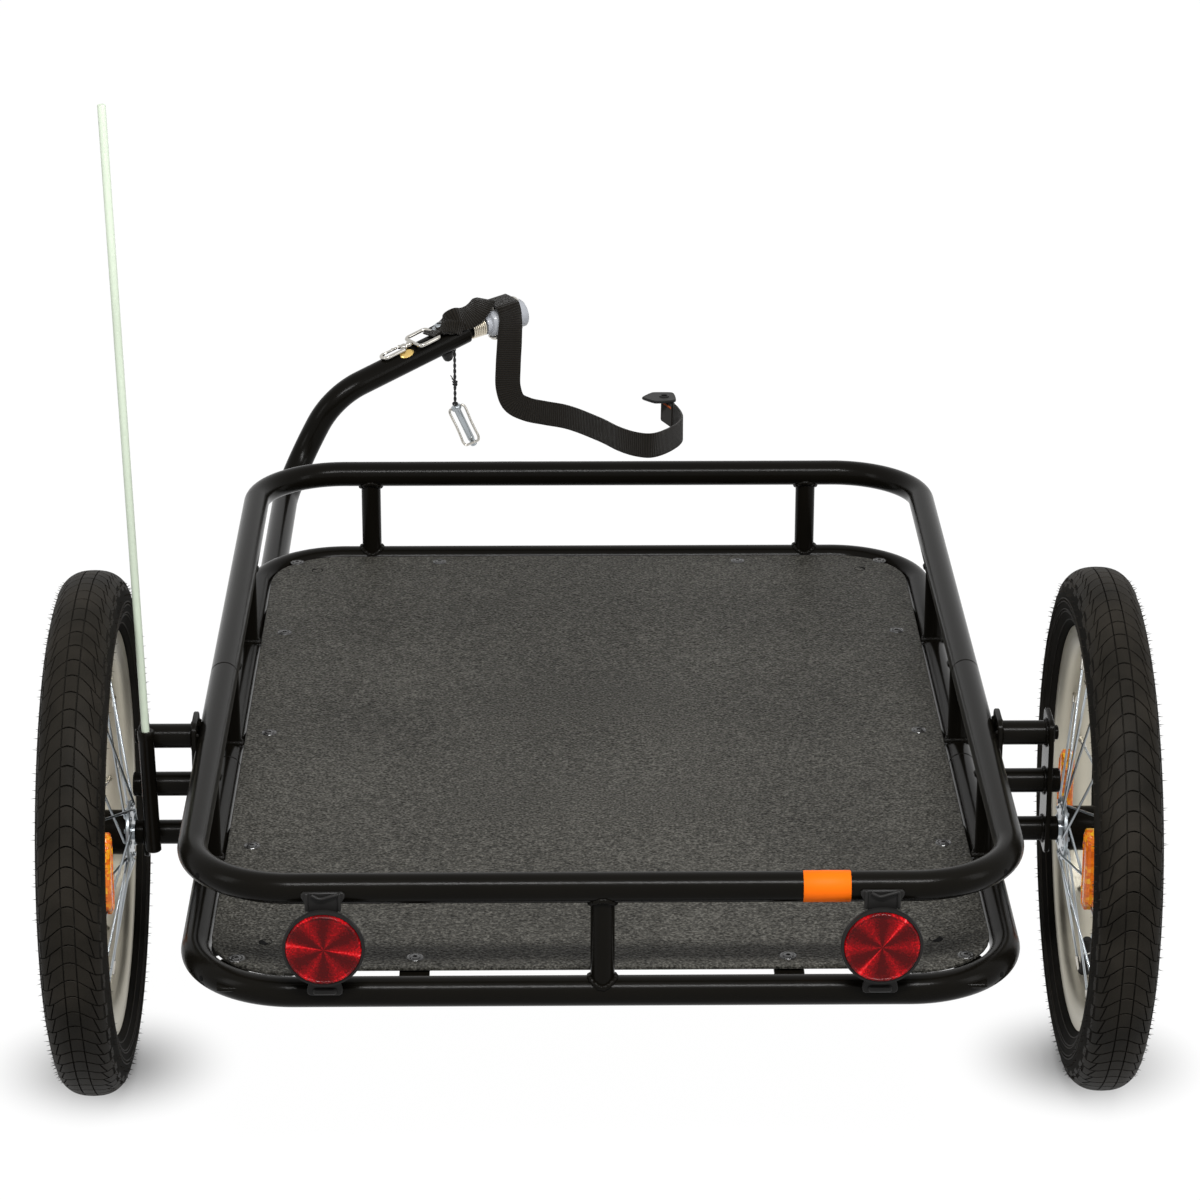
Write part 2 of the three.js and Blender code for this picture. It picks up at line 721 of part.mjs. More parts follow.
// A spring of round wire whose end turns run straight, square to the faces that they meet
function springGeometry() {
  const runX = 2 * springWireRadius;
  const coilLength = springLength - 2 * (runX + seatGap);
  const count = springCurls * springStepsPerCurl;
  const stations = [];
  const coilPoint = (i) => {
    const angle = (2 * Math.PI * i) / springStepsPerCurl - Math.PI / 2;
    return point(
      seatGap + runX + (coilLength * i) / count,
      springRadius * Math.cos(angle),
      springRadius * Math.sin(angle),
    );
  };
  stations.push(point(seatGap, 0, -springRadius));
  for (let i = 0; i <= count; i += 1) stations.push(coilPoint(i));
  stations.push(point(springLength - seatGap, 0, -springRadius));
  return stations;
}

// Wire along a list of points: rings of vertices joined in one closed skin
function wireSkin(points, radius, sides) {
  const tangents = points.map((_, i) => {
    const before = points[Math.max(i - 1, 0)];
    const after = points[Math.min(i + 1, points.length - 1)];
    return after.clone().sub(before).normalize();
  });
  tangents[0].set(1, 0, 0);
  tangents[points.length - 1].set(1, 0, 0);
  const positions = [];
  points.forEach((centre, i) => {
    const outward = point(0, centre.y, centre.z).normalize();
    const axisSide = tangents[i].clone().cross(outward).normalize();
    const upSide = axisSide.clone().cross(tangents[i]).normalize();
    for (let k = 0; k < sides; k += 1) {
      const angle = (2 * Math.PI * k) / sides;
      positions.push(...centre.clone()
        .addScaledVector(upSide, radius * Math.cos(angle))
        .addScaledVector(axisSide, radius * Math.sin(angle)).toArray());
    }
  });
  positions.push(...points[0].toArray(), ...points[points.length - 1].toArray());
  const startCentre = points.length * sides;
  const index = [];
  for (let i = 0; i + 1 < points.length; i += 1) {
    for (let k = 0; k < sides; k += 1) {
      const a = i * sides + k;
      const b = i * sides + ((k + 1) % sides);
      index.push(a, a + sides, b, b, a + sides, b + sides);
    }
  }
  for (let k = 0; k < sides; k += 1) {
    const next = (k + 1) % sides;
    const endRing = (points.length - 1) * sides;
    index.push(startCentre, k, next);
    index.push(startCentre + 1, endRing + next, endRing + k);
  }
  const geometry = new THREE.BufferGeometry();
  geometry.setAttribute('position', new THREE.BufferAttribute(new Float32Array(positions), 3));
  geometry.setIndex(index);
  if (toSolid(geometry).volume() < 0) geometry.setIndex(index.reverse());
  const flat = geometry.toNonIndexed();
  flat.computeVertexNormals();
  return flat;
}

const springPoints = springGeometry();
const springPitch = (springLength - 2 * seatGap - 4 * springWireRadius) / springCurls;
console.log(`spring: least gap between curls ${(springPitch - 2 * springWireRadius).toFixed(2)} mm`);
addMesh('hitch_spring', wireSkin(springPoints, springWireRadius, springWireSides), zincSteel, onHitch);

const barrelStart = springLength;
const barrelEnd = barrelStart + barrelLength;
const boltXs = [barrelStart + boltSetback, barrelStart + boltSetback + boltSpacing];
const barrelBlank = toSolid(turned([
  [barrelStart, 0],
  [barrelStart, barrelNeckRadius],
  [barrelStart + barrelNeckLength, barrelNeckRadius],
  [barrelStart + barrelNeckLength, barrelRadius],
  [barrelEnd - barrelChamfer, barrelRadius],
  [barrelEnd, barrelRadius - barrelChamfer],
  [barrelEnd, 0],
], hubSegments));
const boltBores = boltXs.map((boltX) => straightTube(
  point(boltX, 0, -barrelRadius - cutOverrun),
  point(boltX, 0, barrelRadius + cutOverrun),
  boltShankRadius + seatGap,
));
addMesh('hitch_barrel', fromSolid(cutBy(barrelBlank, boltBores)), barrelGrey, onHitch);
const boltSeat = barrelRadius + seatGap;
['hitch_bolt_rear', 'hitch_bolt_front'].forEach((name, i) => {
  const bolt = turned([
    [-boltSeat - boltHeadLength, 0],
    [-boltSeat - boltHeadLength, boltHeadRadius],
    [-boltSeat, boltHeadRadius],
    [-boltSeat, boltShankRadius],
    [boltSeat, boltShankRadius],
    [boltSeat, boltHeadRadius],
    [boltSeat + boltHeadLength, boltHeadRadius],
    [boltSeat + boltHeadLength, 0],
  ], tubeSides).rotateY(-Math.PI / 2);
  addMesh(name, bolt.translate(boltXs[i], 0, 0), zincSteel, onHitch);
});

// Webbing: a flat band along rows of [place, the way its face looks]
function webBand(route, stationCount) {
  const curve = new THREE.CatmullRomCurve3(route.map(([place]) => place), false, 'centripetal');
  const last = route.length - 1;
  const stations = [];
  for (let i = 0; i <= stationCount; i += 1) {
    const t = i / stationCount;
    const leg = Math.min(Math.floor(t * last), last - 1);
    const face = route[leg][1].clone().lerp(route[leg + 1][1], t * last - leg);
    const tangent = curve.getTangent(t);
    const across = tangent.clone().cross(face).normalize();
    stations.push({ point: curve.getPoint(t), tangent, across });
  }
  return sweep(rectangleShape(webWidth, webThickness), stations);
}

function heading(degrees) {
  const angle = THREE.MathUtils.degToRad(degrees);
  return point(Math.sin(angle), -Math.cos(angle), 0);
}

// The safety strap passes over the barrel on its bolt heads, hangs down on the near side,
// turns on its edge and keeps the S that the stiff webbing has taken
const strapBarrelX = springLength + boltSetback + strapSetback;
const strapTopZ = boltSeat + boltHeadLength + seatGap + webThickness / 2;
const strapDropY = barrelRadius + webThickness + seatGap;
const hitchPlace = (x, y, z) => point(x, y, z).applyMatrix4(hitchMatrix);
const strapOverBarrel = [
  [hitchPlace(strapBarrelX, strapDropY / 2, strapTopZ), hitchUp],
  [hitchPlace(strapBarrelX, -strapDropY / 4, strapTopZ), hitchUp],
  [hitchPlace(strapBarrelX, -strapDropY, strapTopZ - webThickness), hitchUp.clone().sub(hitchSide)],
  [hitchPlace(strapBarrelX, -strapDropY - webThickness, barrelRadius / 2), hitchSide.clone().negate()],
];
const strapDrop = [
  [-75, 964, 300, 25],
  [-75.5, 962, 274, 17],
  [-74.5, 961, 253, 8],
  [-69, 960, 238, 0],
  [-57, 959, 231, -6],
  [-39, 953, 229, -20],
  [-17, 943, 228, -34],
  [16, 909, 226, -50],
  [34, 884, 225, -46],
  [49, 872, 224, -28],
  [63, 867, 224, 8],
  [78, 881, 223, 52],
  [96, 917, 223, 78],
  [92, 951, 224, 106],
  [80, 976, 225, 116],
].map(([x, y, z, degrees]) => [point(x, y, z), heading(degrees)]);
addMesh('safety_strap', webBand([...strapOverBarrel, ...strapDrop], webFoldStations), webBlack);

// The stitched end tab lies flat on the strap's last few centimetres
const strapTabLength = 34;
const strapTabWidth = 30;
const strapTabNeck = 20;
const strapTabThickness = 3;
const strapTabHoleRadius = 3;
const strapTabShoulder = 22;
const strapTabShape = new THREE.Shape([
  new THREE.Vector2(0, -strapTabNeck / 2),
  new THREE.Vector2(strapTabShoulder, -strapTabWidth / 2),
  new THREE.Vector2(strapTabLength, 0),
  new THREE.Vector2(strapTabShoulder, strapTabWidth / 2),
  new THREE.Vector2(0, strapTabNeck / 2),
]);
const strapTabHole = new THREE.Path();
strapTabHole.absarc(strapTabShoulder / 2, 0, strapTabHoleRadius, 0, 2 * Math.PI, true);
strapTabShape.holes.push(strapTabHole);
const strapTab = new THREE.Group();
const strapEnd = strapDrop[strapDrop.length - 1][0];
strapTab.position.set(strapEnd.x, strapEnd.y, strapEnd.z + webWidth / 2 + seatGap);
strapTab.rotation.z = THREE.MathUtils.degToRad(184);
trailer.add(strapTab);
const tabGeometry = new THREE.ExtrudeGeometry(strapTabShape, {
  depth: strapTabThickness,
  bevelEnabled: false,
  curveSegments: 3,
}).translate(-strapTabShoulder / 2, strapTabNeck / 3, 0);
addMesh('strap_end_tab', tabGeometry, plasticBlack, strapTab);

// The short web on top of the arm, from its seat behind the arm's end to the spring's front
const armWebShares = [[-1, 0], [-0.62, 0.9], [-0.2, 1], [0.2, 0.5], [0.62, 0.34]];
const armWebReach = 33;
const armWebRise = 9;
const armWebBase = armRadius + webThickness / 2 + seatGap;
const armWebStations = (() => {
  const curve = new THREE.CatmullRomCurve3(armWebShares.map(([xShare, zShare]) => point(
    xShare * armWebReach,
    0,
    armWebBase + zShare * armWebRise,
  )), false, 'centripetal');
  const count = 16;
  return Array.from({ length: count + 1 }, (_, i) => ({
    point: curve.getPoint(i / count),
    tangent: curve.getTangent(i / count),
    across: point(0, 1, 0),
  }));
})();
addMesh('arm_strap', sweep(rectangleShape(webWidth, webThickness), armWebStations), webBlack, onArm);

// Ring and snap hook lying on the arm
function wireChain(points, radius, closed) {
  const pieces = [];
  points.forEach((start, i) => {
    const end = points[(i + 1) % points.length];
    if (closed || i + 1 < points.length) pieces.push(straightTube(start, end, radius, wireSides));
    const isInner = closed || (i > 0 && i + 1 < points.length);
    if (isInner) pieces.push(new THREE.SphereGeometry(radius, wireSides, wireSides / 2).translate(...start.toArray()));
  });
  return fromSolid(joined(pieces));
}

const ringZ = armRadius + wireRadius + seatGap;
const ringNearX = -armWebReach - wireRadius - 2 * seatGap;
const ringFarX = ringNearX - ringLength;
addMesh('snap_ring', wireChain([
  point(ringNearX, -ringWidth / 2, ringZ),
  point(ringNearX, ringWidth / 2, ringZ),
  point(ringFarX, ringWidth / 2, ringZ),
  point(ringFarX, -ringWidth / 2, ringZ),
], wireRadius, true), zincSteel, onArm);

const hookStartX = ringFarX - wireRadius - seatGap;
const hookEndX = hookStartX - hookLength;
const hookZ = ringZ;
const hookBow = wireChain([
  point(hookStartX - hookThroat, hookWidth / 2, hookZ),
  point(hookStartX - hookThroat, -hookWidth / 2, hookZ),
  point(hookEndX, -hookWidth / 2, hookZ),
  point(hookEndX, hookWidth / 2, hookZ),
  point(hookEndX + hookWidth / 2, hookWidth / 2, hookZ),
], wireRadius, false);
const hookStem = straightTube(
  point(hookStartX, 0, hookZ),
  point(hookStartX - hookThroat, 0, hookZ),
  wireRadius,
  wireSides,
);
addMesh('snap_hook', fromSolid(joined([hookBow, hookStem])), zincSteel, onArm);
addMesh('snap_gate', straightTube(
  point(hookStartX - hookThroat - wireRadius - gateSwingGap, hookWidth / 2, hookZ),
  point(hookEndX + hookWidth / 2 + seatGap, hookWidth / 2, hookZ),
  gateWireRadius,
  wireSides,
), zincSteel, onArm);

// Lanyard with the hitch pin and its bail, hanging plumb from the arm
const lanyardTop = armEnd.clone().addScaledVector(armLine, -lanyardSetback);
const lanyardTopZ = lanyardTop.z - (armRadius + seatGap) / lineUp.z;
const hanging = new THREE.Group();
hanging.position.set(lanyardTop.x, lanyardTop.y, lanyardTopZ);
trailer.add(hanging);
addMesh('pin_lanyard', straightTube(
  point(0, 0, (-lanyardRadius * armLine.z) / lineUp.z),
  point(0, 0, -lanyardLength),
  lanyardRadius,
  wireSides,
), webBlack, hanging);
const pinGroup = new THREE.Group();
const pinTilt = 0.42;
pinGroup.position.set(0, 0, -lanyardLength - (seatGap + lanyardRadius * Math.sin(pinTilt)) / Math.cos(pinTilt));
pinGroup.rotation.y = Math.PI / 2 - pinTilt;
hanging.add(pinGroup);
addMesh('hitch_pin', turned([
  [0, 0],
  [0, pinHeadRadius],
  [pinHeadLength, pinHeadRadius],
  [pinHeadLength, pinRadius],
  [pinLength, pinRadius],
  [pinLength, 0],
], tubeSides), zincSteel, pinGroup);
const bailNearX = pinHeadLength / 2;
const bailFarX = pinLength - bailInset;
const bailRestY = -(pinRadius + seatGap + bailWireRadius);
const bailEndZ = pinHeadRadius + seatGap;
addMesh('pin_bail', wireChain([
  point(bailNearX, 0, bailEndZ),
  point(bailNearX, 0, bailHalfWidth),
  point(bailFarX, bailRestY, bailHalfWidth),
  point(bailFarX, bailRestY, -bailHalfWidth),
  point(bailNearX, 0, -bailHalfWidth),
  point(bailNearX, 0, -bailEndZ),
], bailWireRadius, false), zincSteel, pinGroup);

// Origin: under the middle of the trailer, on the ground, without the free strap and lanyard
const looseNames = ['safety_strap', 'strap_end_tab', 'pin_lanyard', 'hitch_pin', 'pin_bail'];
trailer.updateMatrixWorld(true);
const bounds = new THREE.Box3();
trailer.traverse((child) => {
  if (child.isMesh && !looseNames.includes(child.name)) bounds.expandByObject(child, true);
});
const middle = bounds.getCenter(point(0, 0, 0));
trailer.position.set(-middle.x, -middle.y, -bounds.min.z);

export default trailer;
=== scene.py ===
"""Looks of a cargo bike trailer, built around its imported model, in metres."""
import random
from math import copysign, cos, hypot, pi, radians, sin, sqrt, tan

import bmesh
import bpy
from mathutils import Matrix, Vector


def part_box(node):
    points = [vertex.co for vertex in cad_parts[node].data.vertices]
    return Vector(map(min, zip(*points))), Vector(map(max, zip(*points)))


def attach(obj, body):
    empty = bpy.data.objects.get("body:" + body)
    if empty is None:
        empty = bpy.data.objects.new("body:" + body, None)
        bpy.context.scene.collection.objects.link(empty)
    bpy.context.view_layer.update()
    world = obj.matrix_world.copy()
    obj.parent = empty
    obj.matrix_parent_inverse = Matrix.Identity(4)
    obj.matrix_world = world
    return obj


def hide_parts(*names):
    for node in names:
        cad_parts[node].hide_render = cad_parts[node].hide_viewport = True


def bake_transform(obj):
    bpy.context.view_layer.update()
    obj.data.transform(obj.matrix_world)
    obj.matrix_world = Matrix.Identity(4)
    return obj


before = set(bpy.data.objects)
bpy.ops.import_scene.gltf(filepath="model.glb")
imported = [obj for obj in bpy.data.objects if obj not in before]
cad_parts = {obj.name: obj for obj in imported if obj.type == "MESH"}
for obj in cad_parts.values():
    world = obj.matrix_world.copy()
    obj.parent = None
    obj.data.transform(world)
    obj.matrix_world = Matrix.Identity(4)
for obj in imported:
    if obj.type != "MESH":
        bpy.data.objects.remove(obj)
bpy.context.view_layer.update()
MM = 0.001
X_AXIS = Vector((1, 0, 0))
Y_AXIS = Vector((0, 1, 0))
UP = Vector((0, 0, 1))


def centre(node):
    low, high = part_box(node)
    return (low + high) / 2


def size(node):
    low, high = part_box(node)
    return high - low


# Places below are in mm with the axle line at y = 0, and this is where that line lies
AXLE_Y = centre("left_tyre").y


def at(x, y, z):
    return Vector((x * MM, y * MM + AXLE_Y, z * MM))


def placed_object(name, data):
    made = bpy.data.objects.new(name, data)
    bpy.context.scene.collection.objects.link(made)
    return made


# Camera: the photograph's viewpoint, found from the rails, the screws and the wheels
CAMERA_PLACE = at(-42.31, -2960.09, 1544.38)
CAMERA_PITCH = radians(21.166)
CAMERA_YAW = radians(0.855)
CAMERA_ROLL = radians(-0.106)
CAMERA_LENS = 124.23

camera_data = bpy.data.cameras.new("camera")
camera_data.lens = CAMERA_LENS
camera_data.clip_end = 60
camera = placed_object("camera", camera_data)
camera.matrix_world = (
    Matrix.Translation(CAMERA_PLACE)
    @ Matrix.Rotation(-CAMERA_YAW, 4, "Z")
    @ Matrix.Rotation(pi / 2 - CAMERA_PITCH, 4, "X")
    @ Matrix.Rotation(-CAMERA_ROLL, 4, "Z")
)
bpy.context.scene.camera = camera
bpy.context.scene.view_settings.view_transform = "Standard"


# Materials
def feed(socket, value):
    """Sets an input, or links it when the value is another node's output."""
    if isinstance(value, bpy.types.NodeSocket):
        socket.id_data.links.new(value, socket)
    else:
        socket.default_value = value


def settle(node, **values):
    """Feeds a node's inputs by their names, with _ for each space."""
    for key, value in values.items():
        feed(node.inputs[key.replace("_", " ")], value)


def node_material(name, base, rough, metallic=0.0):
    """A material with its Principled shader, returned with its node tree."""
    made = bpy.data.materials.new(name)
    made.use_nodes = True
    shader = made.node_tree.nodes["Principled BSDF"]
    settle(shader, Base_Color=(*base, 1), Roughness=rough, Metallic=metallic)
    return made, made.node_tree, shader


def add(tree, kind, **values):
    made = tree.nodes.new(kind)
    settle(made, **values)
    return made


def coordinates(tree, kind="Object"):
    return tree.nodes.new("ShaderNodeTexCoord").outputs[kind]


def noise(tree, vector, scale, detail):
    return add(tree, "ShaderNodeTexNoise", Vector=vector, Scale=scale, Detail=detail).outputs["Fac"]


def math_node(tree, operation, *values):
    made = tree.nodes.new("ShaderNodeMath")
    made.operation = operation
    for socket, value in zip(made.inputs, values):
        feed(socket, value)
    return made.outputs[0]


def plus(tree, first, second):
    return math_node(tree, "ADD", first, second)


def times(tree, first, second):
    return math_node(tree, "MULTIPLY", first, second)


def ramp(tree, factor, stops):
    """A colour by factor: stops are (place, colour)."""
    made = add(tree, "ShaderNodeValToRGB", Fac=factor)
    elements = made.color_ramp.elements
    while len(elements) < len(stops):
        elements.new(0.5)
    for element, (place, colour) in zip(elements, stops):
        element.position = place
        element.color = (*colour, 1)
    return made.outputs["Color"]


def map_range(tree, value, low, high):
    return add(tree, "ShaderNodeMapRange", Value=value, To_Min=low, To_Max=high).outputs["Result"]


def bump(tree, shader, height, distance, strength=1.0):
    made = add(tree, "ShaderNodeBump", Height=height, Distance=distance, Strength=strength)
    settle(shader, Normal=made.outputs["Normal"])


def tint(tree, shader, factor, low, high):
    """The base colour, varied between two colours by a factor."""
    settle(shader, Base_Color=ramp(tree, factor, [(0.3, low), (0.7, high)]))


def surface(
    name, base, rough, metallic=0.0, grain=900.0, depth=0.00003, spread=0.12, rough_spread=0.06, coat=0.0,
    specular=0.5
):
    """A finish with a fine grain, and colour and roughness that vary a little."""
    made, tree, shader = node_material(name, base, rough, metallic)
    place = coordinates(tree)
    cloud = noise(tree, place, 14.0, 4.0)
    fine = noise(tree, place, grain, 2.0)
    dark = tuple(c * (1 - spread) for c in base)
    light = tuple(min(c * (1 + spread), 1) for c in base)
    tint(tree, shader, cloud, dark, light)
    settle(shader, Roughness=map_range(tree, cloud, rough - rough_spread, rough + rough_spread))
    bump(tree, shader, fine, depth)
    settle(shader, Coat_Weight=coat, Coat_Roughness=0.1, Specular_IOR_Level=specular)
    return made


def deck_material():
    """Moulded board with a pebbled grain, its pits darkened with painted shade and its tops lightened with
    painted glints.
    """
    made, tree, shader = node_material("deck_board_plastic", (0.05, 0.0475, 0.041), 0.5)
    settle(shader, Specular_IOR_Level=0.07)
    place = coordinates(tree)
    pebble = add(tree, "ShaderNodeTexVoronoi", Vector=place, Scale=430.0)
    pebble.feature = "SMOOTH_F1"
    settle(pebble, Smoothness=0.6)
    grit = noise(tree, place, 520.0, 2.0)
    speck = noise(tree, place, 210.0, 3.0)
    cloud = noise(tree, place, 6.0, 5.0)
    height = plus(tree, pebble.outputs["Distance"], times(tree, grit, 0.6))
    bump(tree, shader, height, 0.0012, 0.9)
    tone = plus(tree, times(tree, grit, 0.68), times(tree, speck, 0.18))
    tone = plus(tree, tone, times(tree, cloud, 0.14))
    # Painted shade in the pits of the grain and painted glints on its tops
    pit_shade, board, top_glint = (0.008, 0.0075, 0.0058), (0.044, 0.042, 0.036), (0.135, 0.13, 0.115)
    colour = ramp(tree, tone, [(0.36, pit_shade), (0.5, board), (0.66, top_glint)])
    settle(shader, Base_Color=colour, Roughness=map_range(tree, cloud, 0.44, 0.54))
    return made


def webbing_material(name, base):
    """Woven tape: ribs across its length, finer yarns along it. UV runs in mm along and across."""
    made, tree, shader = node_material(name, base, 0.75)
    settle(shader, Specular_IOR_Level=0.05, Sheen_Weight=0.15)
    place = coordinates(tree, "UV")
    split = add(tree, "ShaderNodeSeparateXYZ", Vector=place)
    ribs = math_node(tree, "SINE", times(tree, split.outputs["X"], 2 * pi / 2.2))
    yarns = math_node(tree, "SINE", times(tree, split.outputs["Y"], 2 * pi / 0.9))
    weave = plus(tree, ribs, times(tree, yarns, 0.45))
    fuzz = noise(tree, place, 3.0, 3.0)
    height = plus(tree, weave, fuzz)
    bump(tree, shader, height, 0.0003, 0.9)
    dark, light = (tuple(c * share for c in base) for share in (0.3, 1.9))
    # Painted light and shade: lighter on the ribs and darker between them, with random fuzz
    tint(tree, shader, plus(tree, times(tree, weave, 0.14), fuzz), dark, light)
    return made


def reflector_material(name, dark, base, glint, cell):
    """Clear moulded plastic over rows of small prisms, painted darker and lighter in cells and clouds as
    light and shade on the prisms, up to painted yellow glints.
    """
    made, tree, shader = node_material(name, base, 0.12)
    place = coordinates(tree)
    cells = add(tree, "ShaderNodeTexVoronoi", Vector=place, Scale=cell, Randomness=0.35)
    tone = add(tree, "ShaderNodeSeparateColor", Color=cells.outputs["Color"])
    cloud = noise(tree, place, 35.0, 2.0)
    mixed = plus(tree, times(tree, tone.outputs["Red"], 0.45), times(tree, cloud, 0.6))
    # Painted light and shade: from dark orange through orange to painted yellow glints
    colour = ramp(tree, mixed, [(0.2, dark), (0.55, base), (0.86, glint)])
    bump(tree, shader, cells.outputs["Distance"], 0.0006, 0.6)
    settle(shader, Base_Color=colour, Specular_IOR_Level=0.2, Coat_Weight=0.25, Coat_Roughness=0.04)
    return made


def lens_material():
    """Red lens over six fans of prisms, painted lighter and darker by turns as shade, with two painted
    highlight bars and painted glints near its rim: UV runs in mm about its centre.
    """
    made, tree, shader = node_material("lens_red", (0.2, 0.002, 0.004), 0.2)
    split = add(tree, "ShaderNodeSeparateXYZ", Vector=coordinates(tree, "UV"))
    angle = math_node(tree, "ARCTAN2", split.outputs["Y"], split.outputs["X"])
    radius = add(tree, "ShaderNodeVectorMath", Vector=coordinates(tree, "UV"))
    radius.operation = "LENGTH"
    # Painted shade: the six fans lighter and darker by turns
    fan_shading = math_node(tree, "COSINE", times(tree, angle, 6.0))
    cells = add(
        tree, "ShaderNodeTexVoronoi", Vector=coordinates(tree, "UV"), Scale=0.95, Randomness=0.45
    )
    tone = add(tree, "ShaderNodeSeparateColor", Color=cells.outputs["Color"])
    # Two painted highlight bars across the lens, at a fixed angle
    bar = math_node(tree, "COSINE", times(tree, plus(tree, angle, 0.16), 2.0))
    bar = math_node(tree, "POWER", math_node(tree, "MAXIMUM", bar, 0.0), 90.0)
    # Painted glints near the rim
    rim = math_node(tree, "POWER", math_node(tree, "DIVIDE", radius.outputs["Value"], 28.2), 6.0)
    mixed = plus(tree, times(tree, fan_shading, 0.2), times(tree, tone.outputs["Red"], 0.22))
    mixed = plus(tree, mixed, times(tree, bar, 0.4))
    mixed = plus(tree, mixed, times(tree, times(tree, rim, tone.outputs["Green"]), 0.4))
    shade, red = (0.07, 0.0005, 0.001), (0.21, 0.001, 0.003)
    bright, glint = (0.66, 0.004, 0.008), (0.95, 0.12, 0.12)
    colour = ramp(tree, mixed, [(0.0, shade), (0.32, red), (0.62, bright), (0.92, glint)])
    bump(tree, shader, cells.outputs["Distance"], 0.0005, 0.5)
    settle(shader, Base_Color=colour, Specular_IOR_Level=0.08, Coat_Weight=0.08, Coat_Roughness=0.04)
    return made


def tyre_material():
    made, tree, shader = node_material("tyre_rubber", (0.014, 0.012, 0.0095), 0.62)
    settle(shader, Specular_IOR_Level=0.06)
    place = coordinates(tree)
    cloud = noise(tree, place, 22.0, 5.0)
    fine = noise(tree, place, 700.0, 3.0)
    tint(tree, shader, cloud, (0.007, 0.0062, 0.0047), (0.022, 0.019, 0.015))
    settle(shader, Roughness=map_range(tree, cloud, 0.5, 0.68))
    bump(tree, shader, fine, 0.0002, 0.5)
    return made


POWDER_BLACK = surface(
    "powder_black", (0.0042, 0.0036, 0.0026), 0.22, grain=420.0, depth=0.00006, rough_spread=0.03,
    specular=0.055
)
PLASTIC_BLACK = surface("plastic_black", (0.012, 0.0115, 0.011), 0.45, specular=0.15)
# Near black for painted shade, as dark discs in holes, dimples and the strap tab's eye, and for the spring's
# dull black rod
HOLE_SHADE_AND_ROD_BLACK = surface("hole_shade_and_rod_black", (0.003, 0.003, 0.003), 0.9, specular=0.1)
DECK_PLASTIC = deck_material()
TYRE_RUBBER = tyre_material()
# The carcass under and between the tread blocks, a little darker than them as painted shade in the grooves,
# with strong random mottling
GROOVE_SHADE = surface("tyre_groove", (0.012, 0.011, 0.0095), 0.9, grain=300.0, spread=0.6, specular=0.05)
RIM_SILVER = surface("rim_silver", (0.46, 0.43, 0.35), 0.42, 0.75, grain=160.0, spread=0.08)
ZINC = surface("zinc_steel", (0.38, 0.41, 0.43), 0.3, 1.0, grain=260.0, depth=0.00005, spread=0.35)
NICKEL = surface("nickel_wire", (0.5, 0.48, 0.44), 0.18, 1.0, grain=300.0, spread=0.12)
SPRING_STEEL = surface("spring_steel", (0.62, 0.57, 0.47), 0.28, 1.0, grain=300.0, spread=0.2)
BARREL_GREY = surface(
    "barrel_grey", (0.50, 0.52, 0.56), 0.42, grain=500.0, depth=0.00005, spread=0.05, coat=0.2
)
SCREW_BLACK = surface("screw_black", (0.012, 0.0115, 0.0105), 0.2, specular=0.6)
POLE_WHITE = surface("pole_white", (0.60, 0.68, 0.55), 0.38, grain=300.0, spread=0.06)
LABEL_ORANGE = surface("label_orange", (0.92, 0.155, 0.003), 0.5, spread=0.05, specular=0.1)
LABEL_GOLD = surface("label_gold", (0.72, 0.50, 0.16), 0.35, 0.6, spread=0.1)
THREAD_ORANGE = surface("thread_orange", (0.62, 0.12, 0.02), 0.8, grain=2500.0, depth=0.0001, spread=0.3)
CORD_BLACK = surface("cord_black", (0.012, 0.012, 0.012), 0.85, grain=1600.0, depth=0.0003, spread=0.4)
LENS_RED = lens_material()
LENS_ORANGE = reflector_material(
    "lens_orange", (0.62, 0.09, 0.004), (0.95, 0.20, 0.006), (1.0, 0.62, 0.02), 420.0
)
WEB_BLACK = webbing_material("web_black", (0.0105, 0.0085, 0.006))


